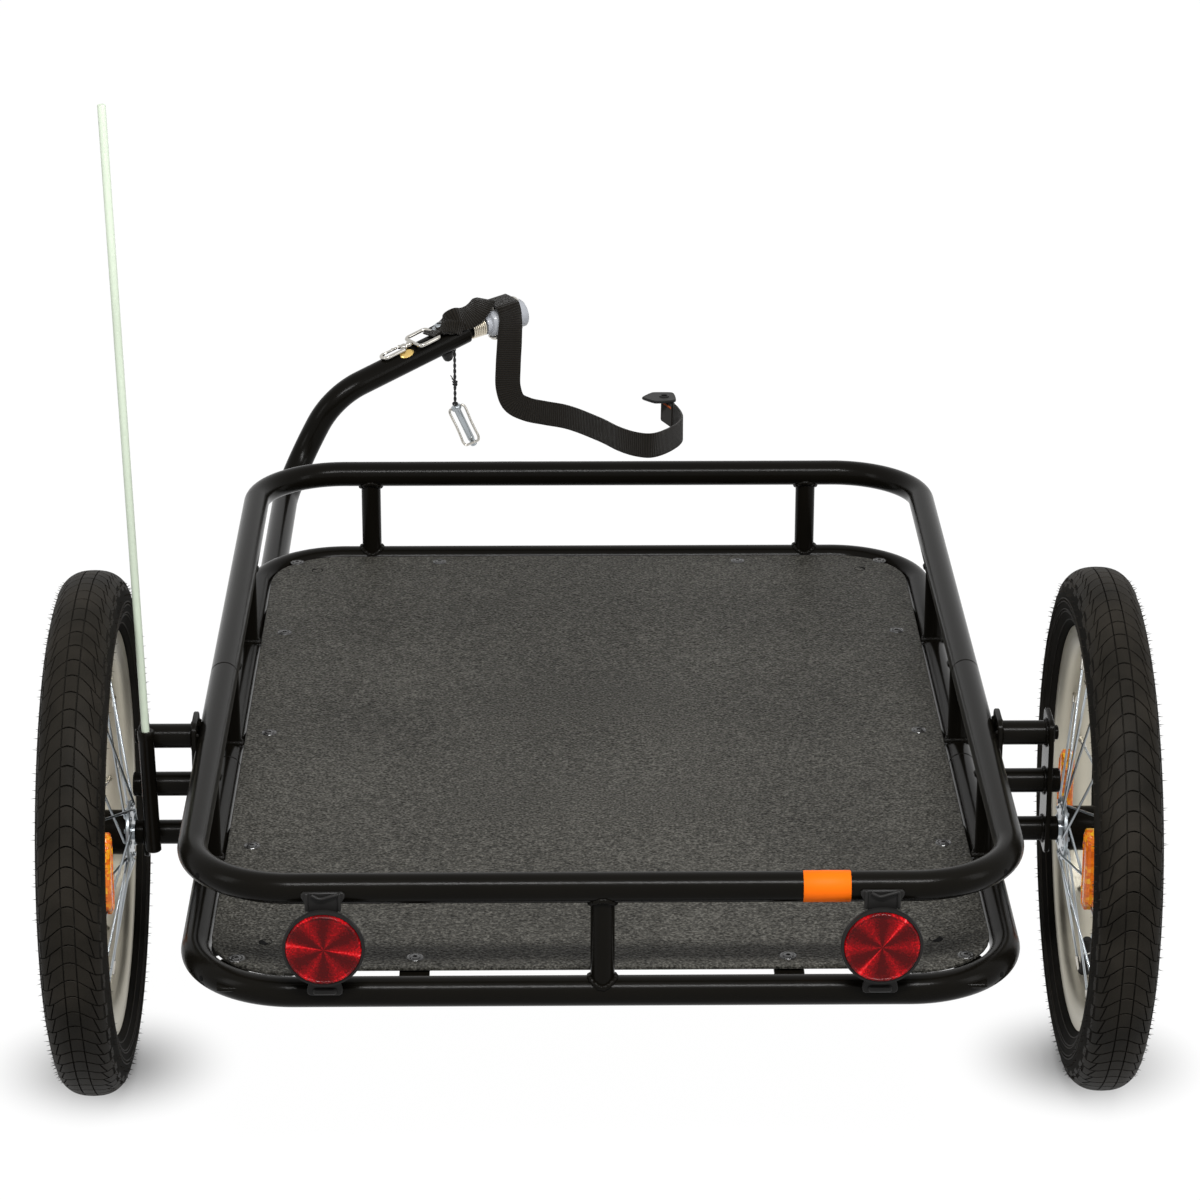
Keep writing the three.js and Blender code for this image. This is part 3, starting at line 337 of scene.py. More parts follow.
# Forms
class Shell:
    """The vertices and faces of one piece, gathered from simple forms."""

    def __init__(self):
        self.points = []
        self.faces = []
        self.kinds = []
        self.uvs = {}

    def ring(self, places):
        start = len(self.points)
        self.points.extend(Vector(p) for p in places)
        return list(range(start, len(self.points)))

    def face(self, corners, kind=0):
        self.faces.append(tuple(corners))
        self.kinds.append(kind)

    def loft(self, rows, looped=False, caps=True, kind=0, uvs=None):
        """Skins closed rings of points with the same count."""
        rings = [self.ring(row) for row in rows]
        if uvs is not None:
            for indices, places in zip(rings, uvs):
                self.uvs.update(zip(indices, places))
        count = len(rings[0])
        pairs = list(zip(rings, rings[1:]))
        if looped:
            pairs.append((rings[-1], rings[0]))
        for low, high in pairs:
            for k in range(count):
                n = (k + 1) % count
                self.face((low[k], low[n], high[n], high[k]), kind)
        if caps and not looped:
            self.face(reversed(rings[0]), kind)
            self.face(rings[-1], kind)

    def lathe(self, profile, matrix, segments=48, kind=0):
        """Turns a profile of (place along x, radius), in mm, about the local x axis."""
        rows = []
        for x, r in profile:
            rows.append([
                matrix @ Vector((x * MM, r * MM * cos(angle), r * MM * sin(angle)))
                for angle in turns(segments)
            ])
        self.loft(rows, kind=kind)

    def tube(self, path, radius, sides=24, kind=0, chamfer=0.0, looped=False, radii=None):
        """Sweeps a round section, with radii in mm, along points, its turning spread evenly."""
        rows = []
        places = [Vector(p) for p in path]
        radii = radii or [radius] * len(places)
        frames = transported(places, looped)
        for place, (_, side, rise), r in zip(places, frames, radii):
            rows.append(circle(place, side, rise, r, sides))
        if chamfer and not looped:
            for end, frame_at in ((0, frames[0]), (-1, frames[-1])):
                out = frame_at[0] * ((chamfer if end else -chamfer) * MM)
                trimmed = circle(places[end] - out, frame_at[1], frame_at[2], radii[end], sides)
                small = circle(places[end], frame_at[1], frame_at[2], radii[end] - chamfer, sides)
                if end:
                    rows[-1:] = [trimmed, small]
                else:
                    rows[:1] = [small, trimmed]
        self.loft(rows, looped=looped, kind=kind)

    def slab(self, outline, low, high, matrix, bevel=0.0, kind=0):
        """A flat plate of an outline in local x and y, from low to high in z, all in mm."""
        inner = inset(outline, bevel)
        layers = [(inner, low), (outline, low + bevel), (outline, high - bevel), (inner, high)]
        if not bevel:
            layers = [(outline, low), (outline, high)]
        rows = [[matrix @ Vector((x * MM, y * MM, z * MM)) for x, y in shape] for shape, z in layers]
        self.loft(rows, kind=kind)

    def build(self, name, materials, body, *nodes, slot=None, sharp=40):
        mesh = bpy.data.meshes.new(name)
        mesh.from_pydata(self.points, [], self.faces)
        materials = materials if isinstance(materials, (list, tuple)) else [materials]
        for material in materials:
            mesh.materials.append(material)
        mesh.polygons.foreach_set("material_index", self.kinds)
        if self.uvs:
            layer = mesh.uv_layers.new(name="UVMap")
            for loop in mesh.loops:
                layer.data[loop.index].uv = self.uvs.get(loop.vertex_index, (0, 0))
        # Points of a ring that has closed to nothing become one, and every face looks outward
        work = bmesh.new()
        work.from_mesh(mesh)
        bmesh.ops.remove_doubles(work, verts=work.verts, dist=2e-6)
        bmesh.ops.recalc_face_normals(work, faces=work.faces)
        work.to_mesh(mesh)
        work.free()
        mesh.validate()
        mesh.update()
        mesh.polygons.foreach_set("use_smooth", [True] * len(mesh.polygons))
        mesh.set_sharp_from_angle(angle=radians(sharp))
        made = placed_object(name, mesh)
        if body:
            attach(made, body)
        if nodes:
            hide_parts(*nodes)
        return made


def turns(count):
    """Angles spread evenly round a circle."""
    return [2 * pi * k / count for k in range(count)]


def circle(place, side, rise, radius, sides):
    made = []
    for angle in turns(sides):
        made.append(place + side * (radius * MM * cos(angle)) + rise * (radius * MM * sin(angle)))
    return made


def directions(places, looped=False):
    made = []
    last = len(places) - 1
    for i in range(len(places)):
        before = places[i - 1] if i or looped else places[0]
        after = places[(i + 1) % len(places)] if i < last or looped else places[last]
        made.append((after - before).normalized())
    return made


def transported(places, looped=False):
    """A tangent, side and rise at each point, turned as little as the path allows."""
    tangents = directions(places, looped)
    seed = UP if abs(tangents[0].z) < 0.9 else X_AXIS
    side = tangents[0].cross(seed).normalized()
    made = []
    for i, tangent in enumerate(tangents):
        if i:
            side = tangents[i - 1].rotation_difference(tangent) @ side
        side = (side - tangent * side.dot(tangent)).normalized()
        made.append((tangent, side, side.cross(tangent)))
    return made


def inset(outline, amount):
    """An outline drawn in by an amount, for the softened rim of a plate."""
    if not amount:
        return outline
    made = []
    count = len(outline)
    area = sum(outline[i - 1][0] * outline[i][1] - outline[i][0] * outline[i - 1][1] for i in range(count))
    turn = 1 if area > 0 else -1
    for i in range(count):
        before = Vector(outline[i - 1])
        here = Vector(outline[i])
        after = Vector(outline[(i + 1) % count])
        first = (here - before).normalized()
        second = (after - here).normalized()
        normal = Vector((-(first.y + second.y), first.x + second.x))
        if normal.length < 1e-9:
            normal = Vector((-first.y, first.x))
        normal.normalize()
        lean = max(normal.dot(Vector((-first.y, first.x))), 0.5)
        made.append(tuple(here + normal * (turn * amount / lean)))
    return made


def rounded(width, height, radius, steps=6, middle=(0, 0)):
    """A rectangle's outline with round corners."""
    made = []
    corners = [(1, 1, 0), (-1, 1, 1), (-1, -1, 2), (1, -1, 3)]
    for sx, sy, quarter in corners:
        cx = middle[0] + sx * (width / 2 - radius)
        cy = middle[1] + sy * (height / 2 - radius)
        for k in range(steps + 1):
            angle = (quarter + k / steps) * pi / 2
            made.append((cx + radius * cos(angle), cy + radius * sin(angle)))
    return made


def disc(radius, sides=24):
    return [(radius * cos(angle), radius * sin(angle)) for angle in turns(sides)]


def bent(corners, radius, steps=16):
    """Straight runs with an arc, its radius in mm, at each inner corner."""
    made = [corners[0]]
    reach = radius * MM
    for i in range(1, len(corners) - 1):
        entry = (corners[i] - corners[i - 1]).normalized()
        leave = (corners[i + 1] - corners[i]).normalized()
        turn = entry.angle(leave)
        side = (leave - entry * entry.dot(leave)).normalized()
        start = corners[i] - entry * (reach * tan(turn / 2))
        for k in range(steps + 1):
            angle = turn * k / steps
            made.append(start + entry * (reach * sin(angle)) + side * (reach * (1 - cos(angle))))
    made.append(corners[-1])
    return made


def basis(x_axis, y_axis, z_axis, place):
    made = Matrix((x_axis, y_axis, z_axis)).transposed().to_4x4()
    made.translation = place
    return made


def facing(normal, place, side=None):
    """A local frame whose z axis is a surface's normal."""
    normal = Vector(normal).normalized()
    side = Vector(side) if side is not None else (
        UP if abs(normal.z) < 0.9 else X_AXIS
    ).cross(normal)
    side = (side - normal * side.dot(normal)).normalized()
    return basis(side, normal.cross(side), normal, place)


def along(direction, place):
    """A local frame whose x axis runs along a direction."""
    direction = Vector(direction).normalized()
    side = (UP if abs(direction.z) < 0.9 else Y_AXIS).cross(direction).normalized()
    return basis(direction, side, direction.cross(side), place)


def smooth_path(places, steps=8):
    """A Catmull-Rom curve through points, spaced by the square root of their distance."""
    points = [2 * places[0] - places[1], *places, 2 * places[-1] - places[-2]]
    made = []
    for i in range(1, len(points) - 2):
        p0, p1, p2, p3 = points[i - 1:i + 3]
        t1 = (p1 - p0).length ** 0.5
        t2 = t1 + (p2 - p1).length ** 0.5
        t3 = t2 + (p3 - p2).length ** 0.5
        for k in range(steps):
            t = t1 + (t2 - t1) * k / steps
            a1 = p0 * ((t1 - t) / t1) + p1 * (t / t1)
            a2 = p1 * ((t2 - t) / (t2 - t1)) + p2 * ((t - t1) / (t2 - t1))
            a3 = p2 * ((t3 - t) / (t3 - t2)) + p3 * ((t - t2) / (t3 - t2))
            b1 = a1 * ((t2 - t) / t2) + a2 * (t / t2)
            b2 = a2 * ((t3 - t) / (t3 - t1)) + a3 * ((t - t1) / (t3 - t1))
            made.append(b1 * ((t2 - t) / (t2 - t1)) + b2 * ((t - t1) / (t2 - t1)))
    made.append(places[-1].copy())
    return made


def web_band(shell, route, width, thickness, steps=8):
    """A flat tape, its width and thickness in mm, along rows of (place, the way its face looks)."""
    places = smooth_path([place for place, _ in route], steps)
    last = len(route) - 1
    tangents = directions(places)
    half = width / 2
    edge = thickness * 0.35
    upper = [(half, edge), (half - edge, thickness / 2)]
    upper += [(half * share, thickness / 2) for share in (0.5, 0, -0.5)]
    upper += [(-half + edge, thickness / 2), (-half, edge)]
    section = [(a, -b) for a, b in reversed(upper)] + upper
    rows = []
    uvs = []
    run = 0.0
    for i, place in enumerate(places):
        share = i / (len(places) - 1) * last
        leg = min(int(share), last - 1)
        face = route[leg][1].lerp(route[leg + 1][1], share - leg)
        across = tangents[i].cross(face).normalized()
        face = across.cross(tangents[i]).normalized()
        if i:
            run += (place - places[i - 1]).length
        rows.append([place + across * (a * MM) + face * (b * MM) for a, b in section])
        uvs.append([(run / MM, a) for a, _ in section])
    shell.loft(rows, uvs=uvs)
    return places, run


# The arm's end and the hitch beyond it, as the frame holds them
ARM_RADIUS = 12
ARM_BEND = 62
RAIL_RADIUS = 11.1
RAIL_HALF = 298
ARM_X = -RAIL_HALF + 6
ARM_Z = 180.8
ARM_CORNERS = [at(ARM_X, -150, ARM_Z), at(ARM_X, 890, ARM_Z), at(-246, 882, 270), at(-117, 963, 312)]
ARM_END = ARM_CORNERS[-1]
ARM_LINE = (ARM_CORNERS[-1] - ARM_CORNERS[-2]).normalized()
ARM_SIDE = UP.cross(ARM_LINE).normalized()
ARM_RISE = ARM_LINE.cross(ARM_SIDE)
ARM_FRAME = basis(ARM_LINE, ARM_SIDE, ARM_RISE, ARM_END)
HITCH_START = ARM_END + ARM_LINE * (1.55 * MM)
HITCH_LINE = (at(-61, 996, 321) - HITCH_START).normalized()
HITCH_SIDE = UP.cross(HITCH_LINE).normalized()
HITCH_RISE = HITCH_LINE.cross(HITCH_SIDE)
HITCH_FRAME = basis(HITCH_LINE, HITCH_SIDE, HITCH_RISE, HITCH_START)
WEB_WIDTH = 25
WEB_THICKNESS = 2
SPRING_LENGTH = 19
BOLT_XS = (31, 53)
STRAP_X = 40


def on_hitch(x, y, z):
    return HITCH_FRAME @ (Vector((x, y, z)) * MM)


def on_arm(x, y, z):
    return ARM_FRAME @ (Vector((x, y, z)) * MM)


def heading(degrees):
    angle = radians(degrees)
    return Vector((sin(angle), -cos(angle), 0))


# Cords: the safety strap and the pin's lanyard
STRAP_ROUTE = [
    (on_hitch(STRAP_X, 8.3, 19.85), HITCH_RISE),
    (on_hitch(STRAP_X, -4.1, 19.85), HITCH_RISE),
    (on_hitch(STRAP_X, -16.55, 17.85), HITCH_RISE - HITCH_SIDE),
    (on_hitch(STRAP_X, -18.55, 7.1), -HITCH_SIDE),
] + [
    (at(x, y, z), heading(degrees)) for x, y, z, degrees in (
        (-74, 964, 300, 12), (-75.5, 962, 274, 6), (-75.5, 961, 253, 2), (-70, 960, 238, -2),
        (-57, 959, 231, -6), (-39, 953, 229, -20), (-17, 943, 228, -34), (16, 909, 226, -50),
        (34, 884, 225, -46), (49, 872, 224, -28), (63, 867, 224, 8), (78, 881, 223, 52),
        (96, 917, 223, 78), (92, 951, 224, 106), (80, 976, 225, 116),
    )
]
strap = Shell()
strap_path, strap_length = web_band(strap, STRAP_ROUTE, WEB_WIDTH, WEB_THICKNESS)
safety_strap = strap.build("safety_strap_web", WEB_BLACK, "hitch", "safety_strap", slot="webbing", sharp=60)

LANYARD_RADIUS = 1.6
LANYARD_STEPS = 40
LANYARD_TWISTS = 5
KNOT_SHARE = 0.62
LANYARD_REACH = size("pin_lanyard").z
LANYARD_TOP = centre("pin_lanyard") + UP * (LANYARD_REACH / 2)
lanyard_path = [LANYARD_TOP - UP * (LANYARD_REACH * i / LANYARD_STEPS) for i in range(LANYARD_STEPS + 1)]
lanyard = Shell()
for phase in (0, pi):
    strand = []
    for i, place in enumerate(lanyard_path):
        angle = phase + 2 * pi * LANYARD_TWISTS * i / LANYARD_STEPS
        strand.append(place + Vector((cos(angle), sin(angle), 0)) * (0.45 * LANYARD_RADIUS * MM))
    lanyard.tube(strand, 0.55 * LANYARD_RADIUS, 8)
pin_lanyard = lanyard.build("pin_lanyard_cord", CORD_BLACK, "frame", "pin_lanyard", slot="webbing")

# A loose knot and two frayed ends low on the lanyard, and the loop that holds the pin
knot = Shell()
knot_place = lanyard_path[int(LANYARD_STEPS * KNOT_SHARE)]


def by_knot(x, y, z):
    return knot_place + Vector((x, y, z)) * MM


for phase, height, reach in ((1.0, 0, 2.1), (0.8, -2.6, 1.9)):
    turn = []
    for angle in turns(24):
        wobble = 0.8 * sin(2 * angle + phase)
        turn.append(by_knot(reach * cos(angle), reach * sin(angle), height + wobble))
    knot.tube(turn, 0.75, 8, looped=True)
for x, z in ((-4.2, 7.5), (-3.0, 4.2)):
    tail = [knot_place, by_knot(0.4 * x, -0.5, 0.45 * z), by_knot(x, -1.2, z)]
    knot.tube(smooth_path(tail, 6), 0.5, 6)
pin_loop = []
for angle in turns(28):
    offset = Vector((2.2 * cos(angle), 1.3 * sin(angle), 1.2 * sin(angle) + 0.6))
    pin_loop.append(lanyard_path[-1] + offset * MM)
knot.tube(pin_loop, 0.8, 8, looped=True)
lanyard_knot = knot.build("pin_lanyard_knot", CORD_BLACK, "frame", slot="webbing")


# Rails
RAIL_REAR = -279
RAIL_FRONT = 609
RAIL_CORNER = 76
RAIL_SEAM = 124
SEAM_GAP = 0.35
UPPER_Z = 286.5
LOWER_Z = 204.5
UPRIGHT_RADIUS = 8.75
UPRIGHT_PITCH = 223.5
MIDDLE_UPRIGHT = 160
FRONT_UPRIGHT_X = 198.5
TUBE_SIDES = 40
DECK_TOP = 212
DECK_THICKNESS = 4
DECK_SHOWN = 3.2
DECK_HALF = 286.6
DECK_REAR = -263.4
# Between its rear corners the board stops short of the rail, which leaves a slit with the tabs across it
DECK_SLIT = 8
SLIT_HALF = 207
DECK_FRONT = 593.4
SIDE_SCREW_X = 267.4
CROSS_SCREW_X = 136
REAR_SCREW_Y = -239.4
FRONT_SCREW_Y = 578.7
SIDE_SCREW_YS = (-42.5, 181, 404.5)
TAB_WIDTH = 22
TAB_THICKNESS = 3
# How far a tab runs past its screw, and where its middle lies under the board
TAB_PAST_SCREW = 9
TAB_Z = DECK_TOP - DECK_THICKNESS - TAB_THICKNESS / 2 - 0.3
DRAIN_ANGLE = radians(38)
RIPPLE_DEPTH = 0.13
RIPPLE_NOISE = 0.06
SIDES = (("left", -1), ("right", 1))


def bead(shell, ring, radius, ripples):
    """A weld bead along a closed ring of points, with the ripples that the torch leaves."""
    random.seed(len(shell.points) + ripples)
    phase = random.random() * pi
    radii = []
    for i in range(len(ring)):
        ripple = sin(2 * pi * ripples * i / len(ring) + phase)
        radii.append(radius * (1 + RIPPLE_DEPTH * ripple + RIPPLE_NOISE * (random.random() - 0.5)))
    shell.tube(ring, radius, 10, looped=True, radii=radii)


def saddle(x, y, z, radius, axis, side, steps=72):
    """The ring where an upright of a radius meets a rail above or below it."""
    made = []
    for angle in turns(steps):
        dx = radius * cos(angle)
        dy = radius * sin(angle)
        across = dx if axis == "y" else dy
        made.append(at(x + dx, y + dy, z + side * sqrt(RAIL_RADIUS ** 2 - across ** 2)))
    return made


def deck_tab(shell, x, y, width, depth):
    """A flat tab that carries the board, welded to the lower rail."""
    place = facing(UP, at(x, y, TAB_Z), (1, 0, 0))
    shell.slab(rounded(width, depth, 3), -TAB_THICKNESS / 2, TAB_THICKNESS / 2, place, 0.4)


for level, z in (("upper", UPPER_Z), ("lower", LOWER_Z)):
    for half, end_y in (("front", RAIL_FRONT), ("rear", RAIL_REAR)):
        seam = RAIL_SEAM + copysign(SEAM_GAP / 2, end_y - RAIL_SEAM)
        corners = [
            at(x, y, z) for x, y in (
                (-RAIL_HALF, seam), (-RAIL_HALF, end_y), (RAIL_HALF, end_y), (RAIL_HALF, seam)
            )
        ]
        rail = Shell()
        rail.tube(bent(corners, RAIL_CORNER, 28), RAIL_RADIUS, TUBE_SIDES, chamfer=0.9)
        if half == "rear":
            for x in (-RAIL_HALF, RAIL_HALF):
                rail.tube([at(x, RAIL_SEAM - 12, z), at(x, RAIL_SEAM + 12, z)], RAIL_RADIUS - 1.6, 24)
            # Small drain holes, outside at the rear corners, each a dark disc of painted shade
            for side in (-1, 1):
                out = Vector((side * cos(DRAIN_ANGLE), -sin(DRAIN_ANGLE), 0))
                corner_x = side * (RAIL_HALF - RAIL_CORNER * (1 - cos(DRAIN_ANGLE)))
                corner_y = RAIL_REAR + RAIL_CORNER * (1 - sin(DRAIN_ANGLE))
                place = at(corner_x, corner_y, z) + out * ((RAIL_RADIUS - 0.35) * MM)
                rail.slab(disc(2.1), 0, 0.5, facing(out, place), kind=1)
        if level == "lower":
            reach = RAIL_HALF - SIDE_SCREW_X + TAB_PAST_SCREW
            for y in SIDE_SCREW_YS:
                if (y > RAIL_SEAM) == (half == "front"):
                    for side in (-1, 1):
                        deck_tab(rail, side * (RAIL_HALF - reach / 2), y, reach, TAB_WIDTH)
            screw_y, inward = (FRONT_SCREW_Y, -1) if half == "front" else (REAR_SCREW_Y, 1)
            reach = abs(end_y - screw_y) + TAB_PAST_SCREW
            for x in (-SIDE_SCREW_X, -CROSS_SCREW_X, CROSS_SCREW_X, SIDE_SCREW_X):
                deck_tab(rail, x, end_y + inward * reach / 2, TAB_WIDTH, reach)
        rail.build(
            f"{level}_rail_{half}_tube", [POWDER_BLACK, HOLE_SHADE_AND_ROD_BLACK], "frame", f"{level}_rail_{half}",
            slot="painted_tube"
        )

# Uprights and their welds
UPRIGHTS = [
    ("front_upright_left", -FRONT_UPRIGHT_X, RAIL_FRONT, "x"),
    ("front_upright_right", FRONT_UPRIGHT_X, RAIL_FRONT, "x"),
    ("rear_upright", 0, RAIL_REAR, "x"),
] + [
    (f"{side_name}_upright_{row_name}", side * RAIL_HALF, MIDDLE_UPRIGHT + row * UPRIGHT_PITCH, "y")
    for side_name, side in SIDES
    for row_name, row in (("rear", -1), ("middle", 0), ("front", 1))
]
for name, x, y, axis in UPRIGHTS:
    post = Shell()
    reach = RAIL_RADIUS * 0.7
    post.tube([at(x, y, LOWER_Z + reach), at(x, y, UPPER_Z - reach)], UPRIGHT_RADIUS, 32)
    for z, side in ((LOWER_Z, 1), (UPPER_Z, -1)):
        bead(post, saddle(x, y, z, UPRIGHT_RADIUS + 0.3, axis, side), 2.3, 17)
    post.build(f"{name}_post", POWDER_BLACK, "frame", name, slot="painted_tube")

# Deck: a moulded board that lies a little proud between its screws
DECK_CORNER = 62
DECK_MIDDLE = (DECK_FRONT + DECK_REAR) / 2
DECK_ROUND = 0.8
DECK_RINGS = 26
DECK_SWELL = 1.6
deck_outline = []
plain_outline = rounded(2 * DECK_HALF, DECK_FRONT - DECK_REAR, DECK_CORNER, 10, (0, DECK_MIDDLE))
for here, after in zip(plain_outline, plain_outline[1:] + plain_outline[:1]):
    deck_outline.append(here)
    if max(here[1], after[1]) < DECK_REAR + 0.01:
        for x in (here[0], after[0]):
            deck_outline.append((copysign(SLIT_HALF, x), DECK_REAR + DECK_SLIT))


def deck_rise(x, y):
    """How far the board bulges between its screws, in mm."""
    u = (x / DECK_HALF + 1) / 2
    v = (y - DECK_REAR) / (DECK_FRONT - DECK_REAR)
    swell = sin(pi * min(max(u, 0), 1)) * (0.6 + 0.4 * cos(2 * pi * (4 * v - 0.35)))
    return DECK_SWELL * swell * sin(pi * min(max(v, 0), 1)) ** 0.6


def on_deck(x, y, sunk):
    """A frame whose x axis rises from the board, sunk into it by some mm."""
    return basis(UP, X_AXIS, Y_AXIS, at(x, y, DECK_TOP + deck_rise(x, y) - sunk))


deck = Shell()
deck_low = DECK_TOP - DECK_SHOWN
deck_rows = []
deck_edge = [
    (deck_low, DECK_ROUND), (deck_low + DECK_ROUND, 0), (DECK_TOP - DECK_ROUND, 0), (DECK_TOP, DECK_ROUND)
]
for z, draw in deck_edge:
    deck_rows.append([at(x, y, z) for x, y in inset(deck_outline, draw)])
for k in range(1, DECK_RINGS + 1):
    share = 1 - k / DECK_RINGS
    ring = [(x * share, DECK_MIDDLE + (y - DECK_MIDDLE) * share) for x, y in inset(deck_outline, DECK_ROUND)]
    deck_rows.append([at(x, y, DECK_TOP + deck_rise(x, y)) for x, y in ring])
deck.loft(deck_rows, caps=False)
deck.face(reversed(range(len(deck_outline))))
deck.build("deck_board_panel", DECK_PLASTIC, "frame", "deck_board", slot="deck_plastic", sharp=30)

# Screws with flush cup washers, and the drain holes, dark discs of painted shade
screws = Shell()
holes = Shell()
screw_profile = [
    (0, 0), (0, 6.4), (0.5, 6.0), (0.75, 4.9), (0.35, 4.2), (0.3, 4.0), (0.9, 3.7), (1.1, 2.6), (1.1, 1.7),
    (0.3, 1.55), (0.3, 0)
]
hole_profile = [(0, 0), (0, 5.2), (0.3, 5.1), (0.42, 4.6), (0.2, 4.4), (0.2, 0)]
screw_places = [(x, y) for x in (-SIDE_SCREW_X, SIDE_SCREW_X) for y in SIDE_SCREW_YS]
for x in (-SIDE_SCREW_X + 1.5, -CROSS_SCREW_X, CROSS_SCREW_X, SIDE_SCREW_X - 1.5):
    screw_places += [(x, REAR_SCREW_Y), (x, FRONT_SCREW_Y)]
for x, y in screw_places:
    screws.lathe(screw_profile, on_deck(x, y, 0.1), 30)
for x in (-DECK_HALF + 40.2, DECK_HALF - 40.2):
    for y in (DECK_REAR + 51, DECK_FRONT - 36):
        holes.lathe(hole_profile, on_deck(x, y, 0.2), 28)
screws.build("deck_screws", SCREW_BLACK, "frame", slot="black_plastic", sharp=25)
holes.build("deck_drain_holes", HOLE_SHADE_AND_ROD_BLACK, "frame", slot="black_plastic")

# Tubes under the deck
for name in ("cross_tube_rear", "cross_tube_front"):
    reach = Vector(((RAIL_HALF - 0.6 * RAIL_RADIUS) * MM, 0, 0))
    tube = Shell()
    tube.tube([centre(name) - reach, centre(name) + reach], size(name).z / MM / 2, 32)
    tube.build(f"{name}_bar", POWDER_BLACK, "frame", name, slot="painted_tube")

# Axle brackets: two plates, three tubes and their welds on each side
PLATE_NEAR = (309.4, 349)
PLATE_THICKNESS = 4
PLATE_OUT = PLATE_NEAR[1] + PLATE_THICKNESS
PLATE_BOTTOM = 190
PLATE_TOP = 302
BRACKET_RADIUS = 9.5
BRACKET_ZS = (UPPER_Z, 246, 205)
for side_name, side in SIDES:
    bracket = Shell()
    for near in PLATE_NEAR:
        width = 40 if near > 320 else 38
        outline = rounded(width, PLATE_TOP - PLATE_BOTTOM, 9, 8)
        middle = at(side * near, 0, (PLATE_TOP + PLATE_BOTTOM) / 2)
        plate_frame = basis(Vector((0, side, 0)), UP, Vector((side, 0, 0)), middle)
        bracket.slab(outline, 0, PLATE_THICKNESS, plate_frame, 0.7)
    for z in BRACKET_ZS:
        far = 351 if z == UPPER_Z else 361
        bracket.tube([at(side * 310.5, 0, z), at(side * far, 0, z)], BRACKET_RADIUS, 32, chamfer=0.8)
        for x in (PLATE_NEAR[0] + PLATE_THICKNESS, PLATE_NEAR[1], PLATE_OUT):
            if x < far:
                ring = circle(at(side * x, 0, z), Y_AXIS, UP, BRACKET_RADIUS + 0.4, 60)
                bead(bracket, ring, 1.5, 19)
    # The bolt's head and washer on the outer plate, by the upper rail
    for x, depth, radius in ((PLATE_OUT, 2.2, 8.6), (PLATE_OUT + 2.2, 3.0, 5.6)):
        bracket.slab(disc(radius, 32), 0, depth, facing((side, 0, 0), at(side * x, 0, UPPER_Z)), 0.6)
    bracket.build(
        f"{side_name}_axle_bracket_weldment", POWDER_BLACK, "frame", f"{side_name}_axle_bracket",
        slot="painted_tube"
    )
    # The welds that join the inner plate to both rails
    joint = Shell()
    for z in (UPPER_Z, LOWER_Z):
        for end in (-1, 1):
            run = [at(side * 309.6, end * (17 - abs(k)), z + 7.6 * cos(k * 0.5)) for k in range(-6, 7)]
            radii = [1.7 + 0.35 * sin(2.1 * k) - 0.02 * k * k for k in range(-6, 7)]
            joint.tube(run, 2, 10, radii=radii)
    joint.build(f"{side_name}_axle_bracket_welds", POWDER_BLACK, "frame", slot="painted_tube")

# Tow arm with its clamps
CLAMP_RADIUS = ARM_RADIUS + 4
arm = Shell()
arm.tube(bent(ARM_CORNERS, ARM_BEND, 24), ARM_RADIUS, TUBE_SIDES, chamfer=1.2)
arm.build("tow_arm_tube", POWDER_BLACK, "frame", "tow_arm", slot="painted_tube")
for name, y in (("tow_arm_clamp_rear", -110), ("tow_arm_clamp_front", 498)):
    clamp = Shell()
    # A saddle that closes round the arm, seen along it
    angles = [pi + pi * k / 24 for k in range(25)]
    outline = [(CLAMP_RADIUS * cos(angle), CLAMP_RADIUS * sin(angle)) for angle in angles]
    outline += [(CLAMP_RADIUS, 15.5), (-CLAMP_RADIUS, 15.5)]
    section = basis(X_AXIS, UP, -Y_AXIS, at(ARM_X, y + 17, ARM_Z))
    clamp.slab(outline, 0, 34, section, 0.8)
    for end in (-9, 9):
        clamp.slab(disc(4.6, 6), 0, 3.4, facing((0, 0, -1), at(ARM_X, y + end, ARM_Z - 16)), 0.4)
    clamp.build(f"{name}_saddle", POWDER_BLACK, "frame", name, slot="painted_tube")

# Bare labels where the real one has printed stickers
label = Shell()
label_rows = []
for x, grow in ((143, 0.05), (143.3, 0.3), (160, 0.3), (176.7, 0.3), (177, 0.05)):
    label_rows.append(circle(at(x, RAIL_REAR, UPPER_Z), Y_AXIS, UP, RAIL_RADIUS + grow, 56))
label.loft(label_rows)
label.build("rail_label", LABEL_ORANGE, "frame", slot="lens_orange", sharp=60)

OVAL_X = -72
OVAL_LENGTH = 7.6
OVAL_WIDTH = 4.2
OVAL_TURN = 0.62
oval = Shell()
oval_rows = []
for share, grow in ((1.0, 0.05), (0.97, 0.35), (0.6, 0.35), (0.2, 0.35)):
    row = []
    for angle in turns(40):
        run = OVAL_LENGTH * share * cos(angle)
        wrap = OVAL_WIDTH * share * sin(angle) / ARM_RADIUS - OVAL_TURN
        reach = ARM_RADIUS + grow
        row.append(on_arm(OVAL_X + run, reach * sin(wrap), reach * cos(wrap)))
    oval_rows.append(row)
oval.loft(oval_rows)
oval.build("arm_label", LABEL_GOLD, "frame", slot="rim_silver", sharp=60)


